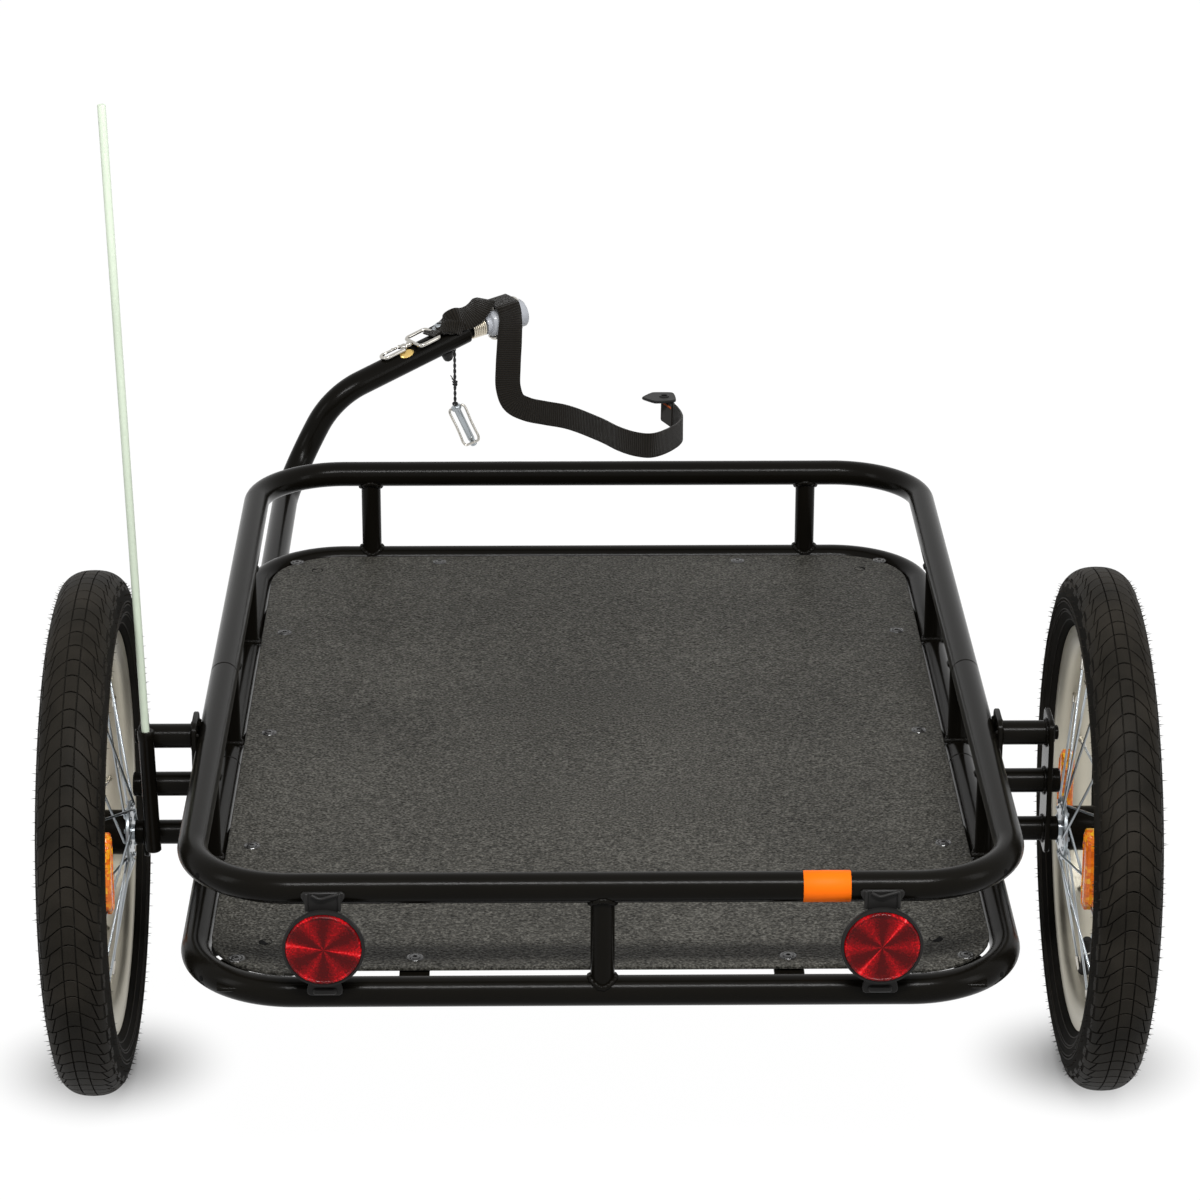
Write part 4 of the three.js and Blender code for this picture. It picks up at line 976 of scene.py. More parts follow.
# Wheels, built about the wheel's own x axis with the outboard side at +x
WHEEL_RADIUS = 205
WHEEL_X = 392
TYRE_HALF = 25.2
TYRE_BASE = 151.3
RIM_RADIUS = 159
RIM_HALF = 16
RIM_BED = 141
HUB_RADIUS = 17.5
FLANGE_RADIUS = 25
FLANGE_X = 27
FLANGE_HALF = 1.5
BEARING_X = 26.5
AXLE_END = 319 - WHEEL_X
SPOKE_HOLE = 21.5
SPOKES = 14
SPOKE_RADIUS = 1.0
PITCHES = 86
GROOVE = 0.9
TREAD_HEIGHT = 1.5
HAIRS_MISSING = 0.22
HAIR_RADIUS = 0.42
REFLECTOR_RADIUS = 81
REFLECTOR_TURN = 0.42
REFLECTOR_HALF = 10.8
REFLECTOR_NARROWING = 5.2
REFLECTOR_DEPTH = 4.8
REFLECTOR_X = 15
# Places of the outline from crown to bead, as shares of the half width and of the height
CARCASS_SHARES = [
    (0, 1), (0.26, 0.992), (0.5, 0.963), (0.7, 0.908), (0.86, 0.825), (0.96, 0.70), (1, 0.56), (0.98, 0.43),
    (0.9, 0.31), (0.8, 0.23), (0.69, 0.17), (0.6, 0.15),
]
TYRE_HEIGHT = WHEEL_RADIUS - TYRE_BASE

# Half of the tyre's outline as a smooth curve, and how far along it each point lies
OUTLINE = [
    (p.x, p.y) for p in smooth_path(
        [Vector((x * TYRE_HALF, TYRE_BASE + r * TYRE_HEIGHT, 0)) for x, r in CARCASS_SHARES], 6
    )
]
ARCS = [0.0]
for (x0, r0), (x1, r1) in zip(OUTLINE, OUTLINE[1:]):
    ARCS.append(ARCS[-1] + hypot(x1 - x0, r1 - r0))


def on_tyre(run, across, height):
    """A point of the tyre at an arc run along the crown and across it, raised along its normal, in mm."""
    reach = abs(across)
    i = 0
    while i < len(ARCS) - 2 and ARCS[i + 1] < reach:
        i += 1
    t = (reach - ARCS[i]) / (ARCS[i + 1] - ARCS[i])
    (x0, r0), (x1, r1) = OUTLINE[i], OUTLINE[i + 1]
    (xa, ra), (xb, rb) = OUTLINE[max(i - 1, 0)], OUTLINE[min(i + 2, len(OUTLINE) - 1)]
    x = x0 + (x1 - x0) * t
    r = r0 + (r1 - r0) * t
    tx, tr = xb - xa, rb - ra
    length = hypot(tx, tr)
    x += -tr / length * height
    r += tx / length * height
    x = copysign(x, across) if across else 0.0
    angle = run / WHEEL_RADIUS
    return Vector((x * MM, r * MM * sin(angle), r * MM * cos(angle)))


def turned(profile, matrix, count):
    """Sections of a closed profile in mm, one at each angle about the wheel's x axis."""
    return [
        [matrix @ Vector((x * MM, r * MM * sin(angle), r * MM * cos(angle))) for x, r in profile]
        for angle in turns(count)
    ]


def sweep_back(across):
    """How far a cross groove trails behind the middle of the tread, in mm."""
    reach = abs(across)
    if reach < 6.5:
        return 2.2 * (reach / 6.5) ** 1.6
    if reach < 19:
        return 2.2 + (reach - 6.5) * 0.92
    return 13.7 + (reach - 19) * 0.5


def tread_block(shell, run, pitch, near_edge, far_edge, wheel_matrix, height=TREAD_HEIGHT):
    """One block of 2 x 4 cells between two cross grooves, from its edges at the near and the far one."""
    cut = GROOVE / 2
    grid = []
    for t in (0, 0.5, 1):
        low, high = (near + (far - near) * t for near, far in zip(near_edge, far_edge))
        line = []
        for k in range(5):
            across = low + (high - low) * k / 4
            line.append((run + cut + (pitch - 2 * cut) * t - sweep_back(across), across))
        grid.append(line)
    border = [(0, 0), (0, 1), (0, 2), (0, 3), (0, 4), (1, 4), (2, 4), (2, 3), (2, 2), (2, 1), (2, 0), (1, 0)]
    middle_run = sum(line[2][0] for line in grid) / 3
    middle_across = sum(near + far for near, far in zip(near_edge, far_edge)) / 4

    def pull(place, amount):
        d_run = middle_run - place[0]
        d_across = middle_across - place[1]
        length = hypot(d_run, d_across)
        return place[0] + d_run / length * amount, place[1] + d_across / length * amount

    def placed(place, h):
        return wheel_matrix @ on_tyre(place[0], place[1], h)

    crown = height - TREAD_HEIGHT
    floor = [placed(grid[i][k], -0.4) for i, k in border]
    wall = [placed(grid[i][k], crown - 0.35) for i, k in border]
    rim_ring = [placed(pull(grid[i][k], 0.35), crown) for i, k in border]
    rings = [shell.ring(r) for r in (floor, wall, rim_ring)]
    quads = []
    for low, high in zip(rings, rings[1:]):
        for k in range(len(border)):
            n = (k + 1) % len(border)
            quads.append((low[k], low[n], high[n], high[k]))
    top = dict(zip(border, rings[-1]))
    for k in range(1, 4):
        top[(1, k)] = shell.ring([placed(grid[1][k], crown)])[0]
    for i in range(2):
        for k in range(4):
            quads.append((top[(i, k)], top[(i, k + 1)], top[(i + 1, k + 1)], top[(i + 1, k)]))
    for quad in quads:
        shell.face(reversed(quad) if near_edge[0] < near_edge[1] else quad)


def build_tyre(side_name, side, matrix):
    tyre = Shell()
    # The tread's blocks stand on a carcass that is lower under them
    outer = [
        (x, r - TREAD_HEIGHT * max(0.0, 1 - max(0.0, (a - 33) / 6))) for (x, r), a in zip(OUTLINE, ARCS)
    ]
    inner = [
        (-13.0, TYRE_BASE), (-9.5, TYRE_BASE), (-9.5, RIM_RADIUS), (-22, 185), (0, 199), (22, 185),
        (9.5, RIM_RADIUS), (9.5, TYRE_BASE), (13.0, TYRE_BASE)
    ]
    profile = outer[::-1] + [(-x, r) for x, r in outer[1:]] + inner
    tyre.loft(turned(profile, matrix, 172), looped=True, kind=1)
    # Fine moulded rings on both walls
    circumference = 2 * pi * WHEEL_RADIUS
    for wall in (-1, 1):
        for across in (40.5, 43, 49, 51, 58):
            ring = [matrix @ on_tyre(circumference * k / 120, wall * across, 0.1) for k in range(120)]
            tyre.tube(ring, 0.55, 6, looped=True)
    pitch = circumference / PITCHES
    for i in range(PITCHES):
        # Both tyres' chevrons point forward over the top, so the right one is turned about
        run = (i + (0.13 if side > 0 else 0.61)) * pitch
        tread_block(tyre, run, pitch, (-4.5, 4.5), (-4.5, 4.5), matrix)
        # Each wall's blocks: inner and outer edges at the near groove, then at the far one, and the height
        outer_edge = 24.2 + 1.6 * (i % 2)
        shoulder = ((25.3, 35), (25.3, 36), 1.0) if i % 2 else ((26.9, 37.5), (26.9, 36), 1.1)
        blocks = [
            ((5.3, 18.5), (5.3, 14.2), TREAD_HEIGHT), ((19.5, outer_edge), (15.2, outer_edge), TREAD_HEIGHT),
            shoulder
        ]
        for wall in (-1, 1):
            for near, far, height in blocks:
                near_edge, far_edge = ([wall * across for across in edge] for edge in (near, far))
                tread_block(tyre, run, pitch, near_edge, far_edge, matrix, height)
    # Moulding hairs on the shoulders and walls
    random.seed(17 + side)
    for wall in (-1, 1):
        for across, count, reach in ((26.2, 172, 3.2), (35, 128, 4.2), (42, 86, 3.4)):
            for k in range(count):
                if random.random() < HAIRS_MISSING:
                    continue
                run = circumference * (k + 0.5 * random.random()) / count
                base = across + 0.8 * (random.random() - 0.5)
                root = matrix @ on_tyre(run, wall * base, -0.2)
                lean = 1.6 * (random.random() - 0.5)
                drift = 1.2 * (random.random() - 0.5)
                height = reach * (0.55 + 0.45 * random.random())
                tip = matrix @ on_tyre(run + lean, wall * (base + drift), height)
                # None reaches down to the floor
                if tip.z < 0.6 * MM:
                    continue
                line = (tip - root).normalized()
                edge = line.cross(Vector((0.3, 0.8, 0.5))).normalized() * (HAIR_RADIUS * MM)
                other = line.cross(edge) * 0.87
                ring = tyre.ring([root + edge, root - edge * 0.5 + other, root - edge * 0.5 - other, tip])
                for n in range(3):
                    tyre.face((ring[n], ring[(n + 1) % 3], ring[3]))
    tyre.build(
        f"{side_name}_tyre_tread", [TYRE_RUBBER, GROOVE_SHADE], f"{side_name}_wheel", f"{side_name}_tyre",
        slot="tyre_rubber", sharp=35
    )


def build_rim(side_name, matrix):
    rim = Shell()
    outside = [
        (RIM_HALF, RIM_RADIUS), (RIM_HALF + 0.1, RIM_RADIUS - 1), (RIM_HALF, RIM_RADIUS - 2),
        (RIM_HALF - 0.2, RIM_RADIUS - 8), (RIM_HALF - 0.6, RIM_RADIUS - 10.5),
        (RIM_HALF - 4, RIM_RADIUS - 15.2), (RIM_HALF - 7, RIM_BED + 1.2), (RIM_HALF - 11, RIM_BED + 0.3),
        (0, RIM_BED),
    ]
    inside = [
        (0, RIM_BED + 4), (RIM_HALF - 6, 149), (RIM_HALF - 2, 151), (RIM_HALF - 2.2, 157),
        (RIM_HALF - 2.2, RIM_RADIUS)
    ]
    profile = outside + [(-x, r) for x, r in reversed(outside[:-1])]
    profile += [(-x, r) for x, r in reversed(inside)] + inside[1:]
    rim.loft(turned(profile, matrix, 144), looped=True)
    rim.build(
        f"{side_name}_rim_hoop", RIM_SILVER, f"{side_name}_wheel", f"{side_name}_rim", slot="rim_silver",
        sharp=32
    )


def wheel_place(radius, angle, x):
    return Vector((x * MM, radius * MM * cos(angle), radius * MM * sin(angle)))


def build_spokes(side_name, bank_name, bank, matrix):
    """One flange with its spokes, their heads, elbows and nipples."""
    spokes = Shell()
    inner, outer = bank * (FLANGE_X - FLANGE_HALF), bank * (FLANGE_X + FLANGE_HALF)
    flange = [
        (inner, 14), (inner, FLANGE_RADIUS - 0.5), (inner + bank * 0.5, FLANGE_RADIUS),
        (outer - bank * 0.5, FLANGE_RADIUS), (outer, FLANGE_RADIUS - 0.5), (outer, 14)
    ]
    spokes.lathe(flange, matrix, 56)
    step = 2 * pi / SPOKES
    phase = step / 4 if bank > 0 else 0
    for hole in range(SPOKES):
        hole_angle = hole * step + phase
        outward = 1 if hole % 2 == 0 else -1
        start = wheel_place(SPOKE_HOLE, hole_angle, bank * FLANGE_X + outward * 2.6)
        head = wheel_place(SPOKE_HOLE, hole_angle, bank * FLANGE_X - outward * 1.9)
        end = wheel_place(RIM_BED - 0.3, hole_angle + outward * 2 * step, bank * 4)
        line = (end - start).normalized() * MM
        path = [head, start - (start - head) * 0.25, start + line * 1.2, start + line * 4, end]
        spokes.tube([matrix @ p for p in path], SPOKE_RADIUS, 10)
        head_line = (head - start).normalized() * MM
        spokes.tube([matrix @ (head - head_line * 0.2), matrix @ (head + head_line)], 2.0, 12, chamfer=0.4)
        nipple = [matrix @ (end + line * run) for run in (-11.5, -10.5, -1.5, 0.6)]
        spokes.tube(nipple, 1.9, 10, kind=1, radii=[1.3, 1.75, 1.9, 2.6])
        # A dimple by each hole, a dark disc of painted shade
        dimple = wheel_place(SPOKE_HOLE - 2.5, hole_angle + step / 2, outer + bank * 0.02)
        spokes.slab(disc(1.5, 12), 0, 0.1, matrix @ facing((bank, 0, 0), dimple), kind=2)
    spokes.build(
        f"{side_name}_{bank_name}_spoke_set", [ZINC, NICKEL, HOLE_SHADE_AND_ROD_BLACK], f"{side_name}_wheel",
        f"{side_name}_{bank_name}_spokes", slot="zinc_steel"
    )


def build_wheel_reflector(side_name, end_name, middle_angle, offset, matrix):
    """A moulded reflector clipped to the spokes: a wide middle, a narrow tab at each end."""
    shape = []
    for radial in (1, -1):
        for k in range(33):
            share = (k / 32 * 2 - 1) * radial
            reach = abs(share)
            half = REFLECTOR_HALF - REFLECTOR_NARROWING * min(max((reach - 0.7) / 0.1, 0), 1)
            half *= sqrt(max(1 - max((reach - 0.9) / 0.1, 0) ** 2, 0.04))
            shape.append((radial * half, share * REFLECTOR_TURN))

    def outline(x, width_share, turn_share, draw=0.0):
        ring = []
        for across, angle in shape:
            drawn = copysign(max(abs(across) - draw, 0), across) * width_share
            place = wheel_place(REFLECTOR_RADIUS + drawn, middle_angle + angle * turn_share, x)
            ring.append(matrix @ place)
        return ring

    reflector = Shell()
    x0, x1 = offset - REFLECTOR_DEPTH, offset + REFLECTOR_DEPTH
    edges = ((x0, 1.4), (x0 + 1.2, 0), (x1 - 1.2, 0), (x1, 1.4))
    reflector.loft([outline(x, 1, 1 - draw / 40, draw) for x, draw in edges])
    # Raised frame ridge round each face
    for x in (x0, x1):
        reflector.tube(outline(x, 0.78, 0.9), 0.5, 6, looped=True)
    reflector.build(
        f"{side_name}_wheel_reflector_{end_name}_prism", LENS_ORANGE, f"{side_name}_wheel",
        f"{side_name}_wheel_reflector_{end_name}", slot="lens_orange", sharp=50
    )


for side_name, side in SIDES:
    body = f"{side_name}_wheel"
    # The wheel's own frame: x outboard, y and z as in the solids, which are turned about z on the left
    straight = Matrix.Translation(at(side * WHEEL_X, 0, WHEEL_RADIUS))
    matrix = straight @ Matrix.Rotation(pi if side < 0 else 0, 4, "Z")
    build_tyre(side_name, side, straight)
    build_rim(side_name, matrix)
    hub_half = FLANGE_X - 1.6
    hub_profile = [
        (-hub_half, 13), (-hub_half, HUB_RADIUS - 0.5), (-hub_half + 0.5, HUB_RADIUS),
        (hub_half - 0.5, HUB_RADIUS), (hub_half, HUB_RADIUS - 0.5), (hub_half, 13)
    ]
    hub = Shell()
    hub.lathe(hub_profile, matrix, 56)
    hub.build(f"{side_name}_hub_barrel", POWDER_BLACK, body, f"{side_name}_hub_shell", slot="painted_tube")
    for bank_name, bank in (("inboard", -1), ("outboard", 1)):
        build_spokes(side_name, bank_name, bank, matrix)
        bearing = Shell()
        sunk = [(8, 6.4), (8, 13.6), (0, 13.6), (0, 12), (0.6, 11.6), (0.6, 8.6), (0, 8.2), (0, 6.4)]
        bearing.lathe([(bank * (BEARING_X - x), r) for x, r in sunk], matrix, 48)
        bearing.build(
            f"{side_name}_{bank_name}_bearing_race", ZINC, body, f"{side_name}_{bank_name}_bearing",
            slot="zinc_steel"
        )
    for end_name, angle in (("front", pi if side < 0 else 0), ("rear", 0 if side < 0 else pi)):
        # The left wheel's front one is clipped to the outboard spokes, where the rail's side can't show it
        bank = 1 if (side_name, end_name) == ("left", "front") else -1
        build_wheel_reflector(side_name, end_name, angle, bank * REFLECTOR_X, matrix)
    head_x = FLANGE_X + FLANGE_HALF + 0.3
    axle_profile = [(AXLE_END, 0), (AXLE_END, 5.4), (AXLE_END + 0.6, 6)] + [
        (head_x + x, r) for x, r in (
            (0, 6), (0, 10.6), (0.5, 11), (4.4, 10.6), (6, 8.6), (6, 3.4), (5, 3.0), (5, 0)
        )
    ]
    axle = Shell()
    axle.lathe(axle_profile, matrix, 48)
    axle.build(f"{side_name}_axle_pin", ZINC, "frame", f"{side_name}_axle", slot="zinc_steel")
    # Valve with its black cap
    valve = Shell()
    valve_angle = -pi / 2 + radians(11 if side > 0 else 160)
    inward = matrix.to_3x3() @ -wheel_place(1, valve_angle, 0)
    stem = along(inward, matrix @ wheel_place(RIM_BED + 2, valve_angle, 0))
    valve.lathe([(-2, 0), (-2, 5.4), (3, 5.2), (6, 4.2), (20, 3.9), (21, 3.4), (21, 0)], stem, 24)
    valve.lathe([(21, 0), (21, 3.2), (23.5, 3.2), (23.5, 0)], stem, 24, kind=1)
    valve.lathe([(23.4, 0), (23.4, 4.4), (33, 4.3), (34.5, 3.2), (34.5, 0)], stem, 24)
    valve.build(f"{side_name}_valve", [PLASTIC_BLACK, NICKEL], body, slot="black_plastic", sharp=35)

# Rear reflectors on their strap plates
LENS_RADIUS = 27.1
PLATE_Y = RAIL_REAR - RAIL_RADIUS - 0.3
PLATE_FRONT = PLATE_Y - 3
LENS_PROFILE = [
    (-0.4, 0), (-0.4, 26), (0.6, LENS_RADIUS), (3.1, LENS_RADIUS), (4.3, 26.7), (5.0, 25.9), (5.0, 25.2),
    (4.3, 24.6), (4.1, 24.0), (4.25, 20), (4.4, 13), (4.5, 6), (4.5, 0)
]
CUP_PROFILE = [
    (-5.0, 0), (-5.0, 24.5), (-3.4, 27.5), (-1.0, 29.3), (1.9, 29.6), (3.4, 29.2), (3.4, 27.4),
    (-0.6, 27.3), (-0.6, 0)
]
# The strap plate's heights and half widths: broad lugs at both rails, a narrower neck behind the cup
LUG_EDGE = [
    (-40.0, 10.4), (-39.0, 12.2), (-36.5, 12.9), (-33.5, 12.4), (-30, 11), (-24, 10.3), (24, 10.3),
    (29.5, 11), (33.5, 13.4), (37, 15.4), (39.5, 15.6), (41, 14.0)
]
for side_name, turn in (("left", 0.0), ("right", -1.07)):
    middle = centre(f"{side_name}_rear_reflector_lens") / MM
    face_y = (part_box(f"{side_name}_rear_reflector_lens")[0].y - AXLE_Y) / MM
    back = basis(-Y_AXIS, X_AXIS, UP, at(middle.x, face_y + 5.0, middle.z))
    lens = Shell()
    rows = []
    uvs = []
    angles = turns(72)
    for x, r in LENS_PROFILE:
        rows.append([back @ Vector((x * MM, r * MM * cos(a), r * MM * sin(a))) for a in angles])
        uvs.append([(r * cos(a + turn), r * sin(a + turn)) for a in angles])
    lens.loft(rows, uvs=uvs)
    lens.build(
        f"{side_name}_rear_reflector_prism", LENS_RED, "frame", f"{side_name}_rear_reflector_lens",
        slot="lens_red"
    )

    housing = Shell()
    housing.lathe(CUP_PROFILE, back, 72)
    sheet = basis(X_AXIS, UP, -Y_AXIS, at(middle.x, PLATE_Y, middle.z))
    strap_outline = [(half, z) for z, half in LUG_EDGE] + [(-half, z) for z, half in reversed(LUG_EDGE)]
    housing.slab(strap_outline, 0, 3, sheet, 0.6)

    def on_plate(x, proud, z):
        return at(middle.x + x, PLATE_FRONT - proud, middle.z + z)

    # Ribs and a clip's tongue where the lugs hold the rails
    for x in (-11.6, 11.6):
        rib = [on_plate(x, 0.2, z) for z in (41, 36, 31, 27)]
        housing.tube(smooth_path(rib, 5), 1.5, 10, chamfer=0.6)
    fold = [on_plate(-8, 0.9, 39.5), on_plate(-2, 1.6, 37), on_plate(5, 1.4, 38.6), on_plate(11, 0.8, 40)]
    housing.tube(smooth_path(fold, 6), 1.3, 10)
    housing.slab(rounded(17, 4.6, 2.1, 6, (0, -36.4)), 2.6, 5.2, sheet, 0.8)
    housing.build(
        f"{side_name}_rear_reflector_mount", PLASTIC_BLACK, "frame", f"{side_name}_rear_reflector_housing",
        slot="black_plastic"
    )

# Flag pole and its socket
FLAG_LEAN = 0.027
flag_line = Vector((-sin(FLAG_LEAN), 0, cos(FLAG_LEAN)))
flag_foot = at(-344.7, -26.3, 201)
flag_frame = basis(flag_line, Y_AXIS, flag_line.cross(Y_AXIS), flag_foot)
socket_profile = [
    (0, 0), (0, 5.2), (0.8, 6), (94, 6), (94.6, 6.35), (100.4, 6.35), (101, 5.9), (101, 3.9), (100.4, 3.5),
    (6, 3.5), (5, 0)
]
socket = Shell()
socket.lathe(socket_profile, flag_frame, 32)
socket.build("flag_socket_tube", POWDER_BLACK, "frame", "flag_socket", slot="painted_tube")
pole = Shell()
pole.lathe([(5.3, 0), (5.3, 3.05), (300, 3.1), (593.2, 3.15), (594, 2.8), (594, 0)], flag_frame, 28)
pole.build("flag_pole_rod", POLE_WHITE, "pole", "flag_pole", slot="pole_white")

# Hitch: spring, barrel and bolts
SPRING_REACH = 9.4
SPRING_TAIL = 2.0
CURLS = 7
CURL_STEPS = 28
coil_length = SPRING_LENGTH - 2 * SPRING_TAIL
spring_path = [on_hitch(x, 0, -SPRING_REACH) for x in (0.3, 1.0)]
for i in range(CURLS * CURL_STEPS + 1):
    angle = 2 * pi * i / CURL_STEPS - pi / 2
    x = SPRING_TAIL + coil_length * i / (CURLS * CURL_STEPS)
    spring_path.append(on_hitch(x, SPRING_REACH * cos(angle), SPRING_REACH * sin(angle)))
spring_path += [on_hitch(SPRING_LENGTH - x, 0, -SPRING_REACH) for x in (1.0, 0.3)]
spring = Shell()
spring.tube(spring_path, 1.0, 12)
# The rod that the spring is wound about
spring.tube([on_hitch(-1.2, 0, 0), on_hitch(SPRING_LENGTH - 0.2, 0, 0)], 7.4, 28, kind=1)
spring_coil = spring.build(
    "hitch_spring_coil", [SPRING_STEEL, HOLE_SHADE_AND_ROD_BLACK], None, "hitch_spring", slot="zinc_steel"
)
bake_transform(spring_coil)

barrel = Shell()
barrel_profile = [
    (19, 0), (19, 10.2), (19.4, 10.5), (23.2, 10.5), (23.9, 11.4), (24.4, 13.6), (25.2, 14.25),
    (61.6, 14.25), (62.8, 13.9), (64, 12.7), (64, 9.4), (63.2, 8.9), (56, 8.7), (56, 0)
]
barrel.lathe(barrel_profile, HITCH_FRAME, 56)
barrel.build("hitch_barrel_body", BARREL_GREY, "hitch", "hitch_barrel", slot="hitch_grey")


def washer_teeth(shell, place, axis, side, rise, reach, width, depth, half):
    """The twelve teeth of a lock washer, at a rise along an axis and a reach from it, in mm."""
    for angle in turns(12):
        across = side * cos(angle) + axis.cross(side) * sin(angle)
        foot = place + axis * (rise * MM) + across * (reach * MM)
        tooth = facing(axis + across * half, foot, across)
        shell.slab(rounded(width, depth, 0.4, 2), -half, half, tooth, 0.1)


BOLT_PROFILE = [
    (14.55, 0), (14.55, 7.0), (14.75, 7.25), (15.3, 7.25), (15.5, 7.0), (15.6, 6.2), (16.2, 6.3),
    (17.6, 5.6), (18.4, 4.2), (18.5, 2.7), (17.2, 2.5), (17.2, 0)
]
for name, x in zip(("hitch_bolt_rear", "hitch_bolt_front"), BOLT_XS):
    bolt = Shell()
    for out in (-HITCH_RISE, HITCH_RISE):
        bolt.lathe(BOLT_PROFILE, basis(out, HITCH_LINE, out.cross(HITCH_LINE), on_hitch(x, 0, 0)), 36)
        washer_teeth(bolt, on_hitch(x, 0, 0), out, HITCH_LINE, 14.9, 7.1, 1.7, 1.5, 0.35)
    bolt.tube([on_hitch(x, 0, -14.6), on_hitch(x, 0, 14.6)], 4, 24)
    bolt.build(f"{name}_head", NICKEL, "hitch", name, slot="zinc_steel")

# The strap's moulded end, with the tape's turned end stitched in orange
STRAP_END = at(80, 976, 225)
TAB_TURN = radians(184)
TAB_EYE = (0.4, 6.67)
TAB_POINTS = [
    (-11, -3.3), (-9, -6.2), (-4, -7.2), (9.0, -8.2), (12.5, -7.4), (22.2, 4.6), (22.8, 6.67), (22.2, 8.8),
    (12.5, 20.8), (9.0, 21.6), (-4, 20.6), (-9, 19.4), (-11, 16.6)
]
tab_frame = Matrix.Translation(STRAP_END + UP * (12.8 * MM)) @ Matrix.Rotation(TAB_TURN, 4, "Z")
tab_outline = []
for i in range(len(TAB_POINTS)):
    before, here, after = (Vector(TAB_POINTS[(i + k) % len(TAB_POINTS)]) for k in (-1, 0, 1))
    for t in (0.25, 0.75):
        a = before.lerp(here, 0.5 + t / 2)
        b = here.lerp(after, t / 2)
        tab_outline.append(tuple(a.lerp(b, t)))
tab = Shell()
tab.slab(tab_outline, 0, 3, tab_frame, 0.9)
# A raised collar round the hole, and the hole's floor, a dark disc of painted shade
eye_frame = tab_frame @ Matrix.Translation(Vector((*TAB_EYE, 3)) * MM)
collar = [(-0.4, 3.0), (0.7, 3.1), (1.0, 3.6), (1.0, 4.3), (0.5, 4.9), (-0.4, 5.0)]
tab.lathe(collar, eye_frame @ Matrix.Rotation(-pi / 2, 4, "Y"), 28)
tab.slab(disc(3.0), 0, 0.05, eye_frame, kind=1)
# The side wall that reaches down over the tape, and its stitching
end_face = heading(116)
end_run = (STRAP_END - at(92, 951, 224)).normalized()
tape_frame = basis(end_run, end_face.cross(end_run).normalized(), end_face, STRAP_END)
for face in (1, -1):
    tab.slab(rounded(23, 24.6, 2, 4, (-9, 0)), face * 1.0, face * 2.1, tape_frame, kind=2)
STITCH = ((0, -0.15), (0.6, 0.25), (1.4, 0.25), (2.0, -0.15))
for face in (1, -1):
    for row in (7.4, 8.5):
        for k in range(9):
            run = -19.6 + 2.35 * k
            stitch = [tape_frame @ (Vector((run + dx, row, face * (2.15 + h))) * MM) for dx, h in STITCH]
            tab.tube(stitch, 0.42, 6, kind=3)
strap_tab = tab.build(
    "strap_end_moulding", [PLASTIC_BLACK, HOLE_SHADE_AND_ROD_BLACK, WEB_BLACK, THREAD_ORANGE], "hitch", "strap_end_tab",
    slot="black_plastic"
)

# The web on the arm: out of the ring, under its bolt, over the spring to the barrel
ARM_WEB_ROUTE = [
    ((-40.5, -1.0, 13.6), (0, 0.1, 1)), ((-35.5, -0.6, 15.6), (-0.5, 0.1, 0.9)),
    ((-30.5, 0, 14.0), (0.2, 0, 1)), ((-24, -0.5, 14.0), (0.05, -0.1, 1)),
    ((-18.5, -2.0, 14.6), (-0.3, -0.4, 1)), ((-14, -3.5, 16.8), (-0.5, -0.8, 0.8)),
    ((-8.5, -5.0, 17.6), (-0.1, -0.9, 0.8)), ((-2, -5.5, 15.6), (0.3, -0.8, 0.8)),
    ((4, -5.5, 14.8), (0.1, -0.7, 0.9)), ((11, -5.0, 15.4), (-0.2, -0.6, 0.9)),
    ((18, -3.5, 17.4), (-0.3, -0.5, 1)), ((24.5, -1.5, 19.6), (-0.05, -0.3, 1)), ((30, 0, 20.8), (0, 0, 1)),
]
# A gathered second ply round the bolt and the loose fold that stands over it
PLEAT_ROUTE = [
    ((-33, -4, 16.6), (0, -0.4, 1)), ((-27, -6.5, 17.6), (0.1, -0.6, 1)),
    ((-20, -9.5, 17.2), (0.2, -0.9, 0.7)), ((-14, -12.4, 13.5), (0.1, -1, 0.3)),
    ((-9, -12.8, 9.5), (0, -1, 0)),
]
ARM_STITCH = ((0, -0.2), (0.5, 0.35), (1.4, 0.35), (1.9, -0.2))
arm_web = Shell()
for route, width, thickness in ((ARM_WEB_ROUTE, WEB_WIDTH, WEB_THICKNESS), (PLEAT_ROUTE, 13, 1.6)):
    placed_route = [(on_arm(*place), ARM_FRAME.to_3x3() @ Vector(face)) for place, face in route]
    web_band(arm_web, placed_route, width, thickness, steps=6)
for x in (-19.5, -22.5):
    for k in range(8):
        y = -9 + 18 * k / 8
        stitch = [on_arm(x, y + dy, 16.0 + h + 0.06 * (x + 24)) for dy, h in ARM_STITCH]
        arm_web.tube(stitch, 0.45, 6, kind=1)
arm_web_piece = arm_web.build(
    "arm_strap_web", [WEB_BLACK, THREAD_ORANGE], None, "arm_strap", slot="webbing", sharp=60
)
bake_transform(arm_web_piece)

# The bolt through arm and web, its star washer above and its capped nut below
above_profile = [
    (14.6, 0), (14.6, 7.6), (15.4, 7.8), (16.2, 7.4), (16.4, 6.0), (17.0, 5.9), (18.8, 5.2), (20.2, 3.6),
    (20.4, 2.2), (19.2, 2.0), (19.2, 0)
]
below_profile = [
    (11.2, 0), (11.2, 6.6), (13.0, 6.8), (14.4, 6.0), (18.8, 4.9), (20.6, 3.8), (21.6, 2.2), (21.8, 0)
]
bolt_place = on_arm(-26.5, 0.4, 0)
arm_bolt = Shell()
arm_bolt.lathe(above_profile, basis(ARM_RISE, ARM_LINE, ARM_RISE.cross(ARM_LINE), bolt_place), 36)
washer_teeth(arm_bolt, bolt_place, ARM_RISE, ARM_LINE, 15.5, 7.9, 2.0, 1.6, 0.4)
below = basis(-ARM_RISE, ARM_LINE, (-ARM_RISE).cross(ARM_LINE), bolt_place)
arm_bolt.lathe(below_profile, below, 28, kind=1)
arm_bolt.build("arm_bolt", [ZINC, PLASTIC_BLACK], "frame", slot="zinc_steel")

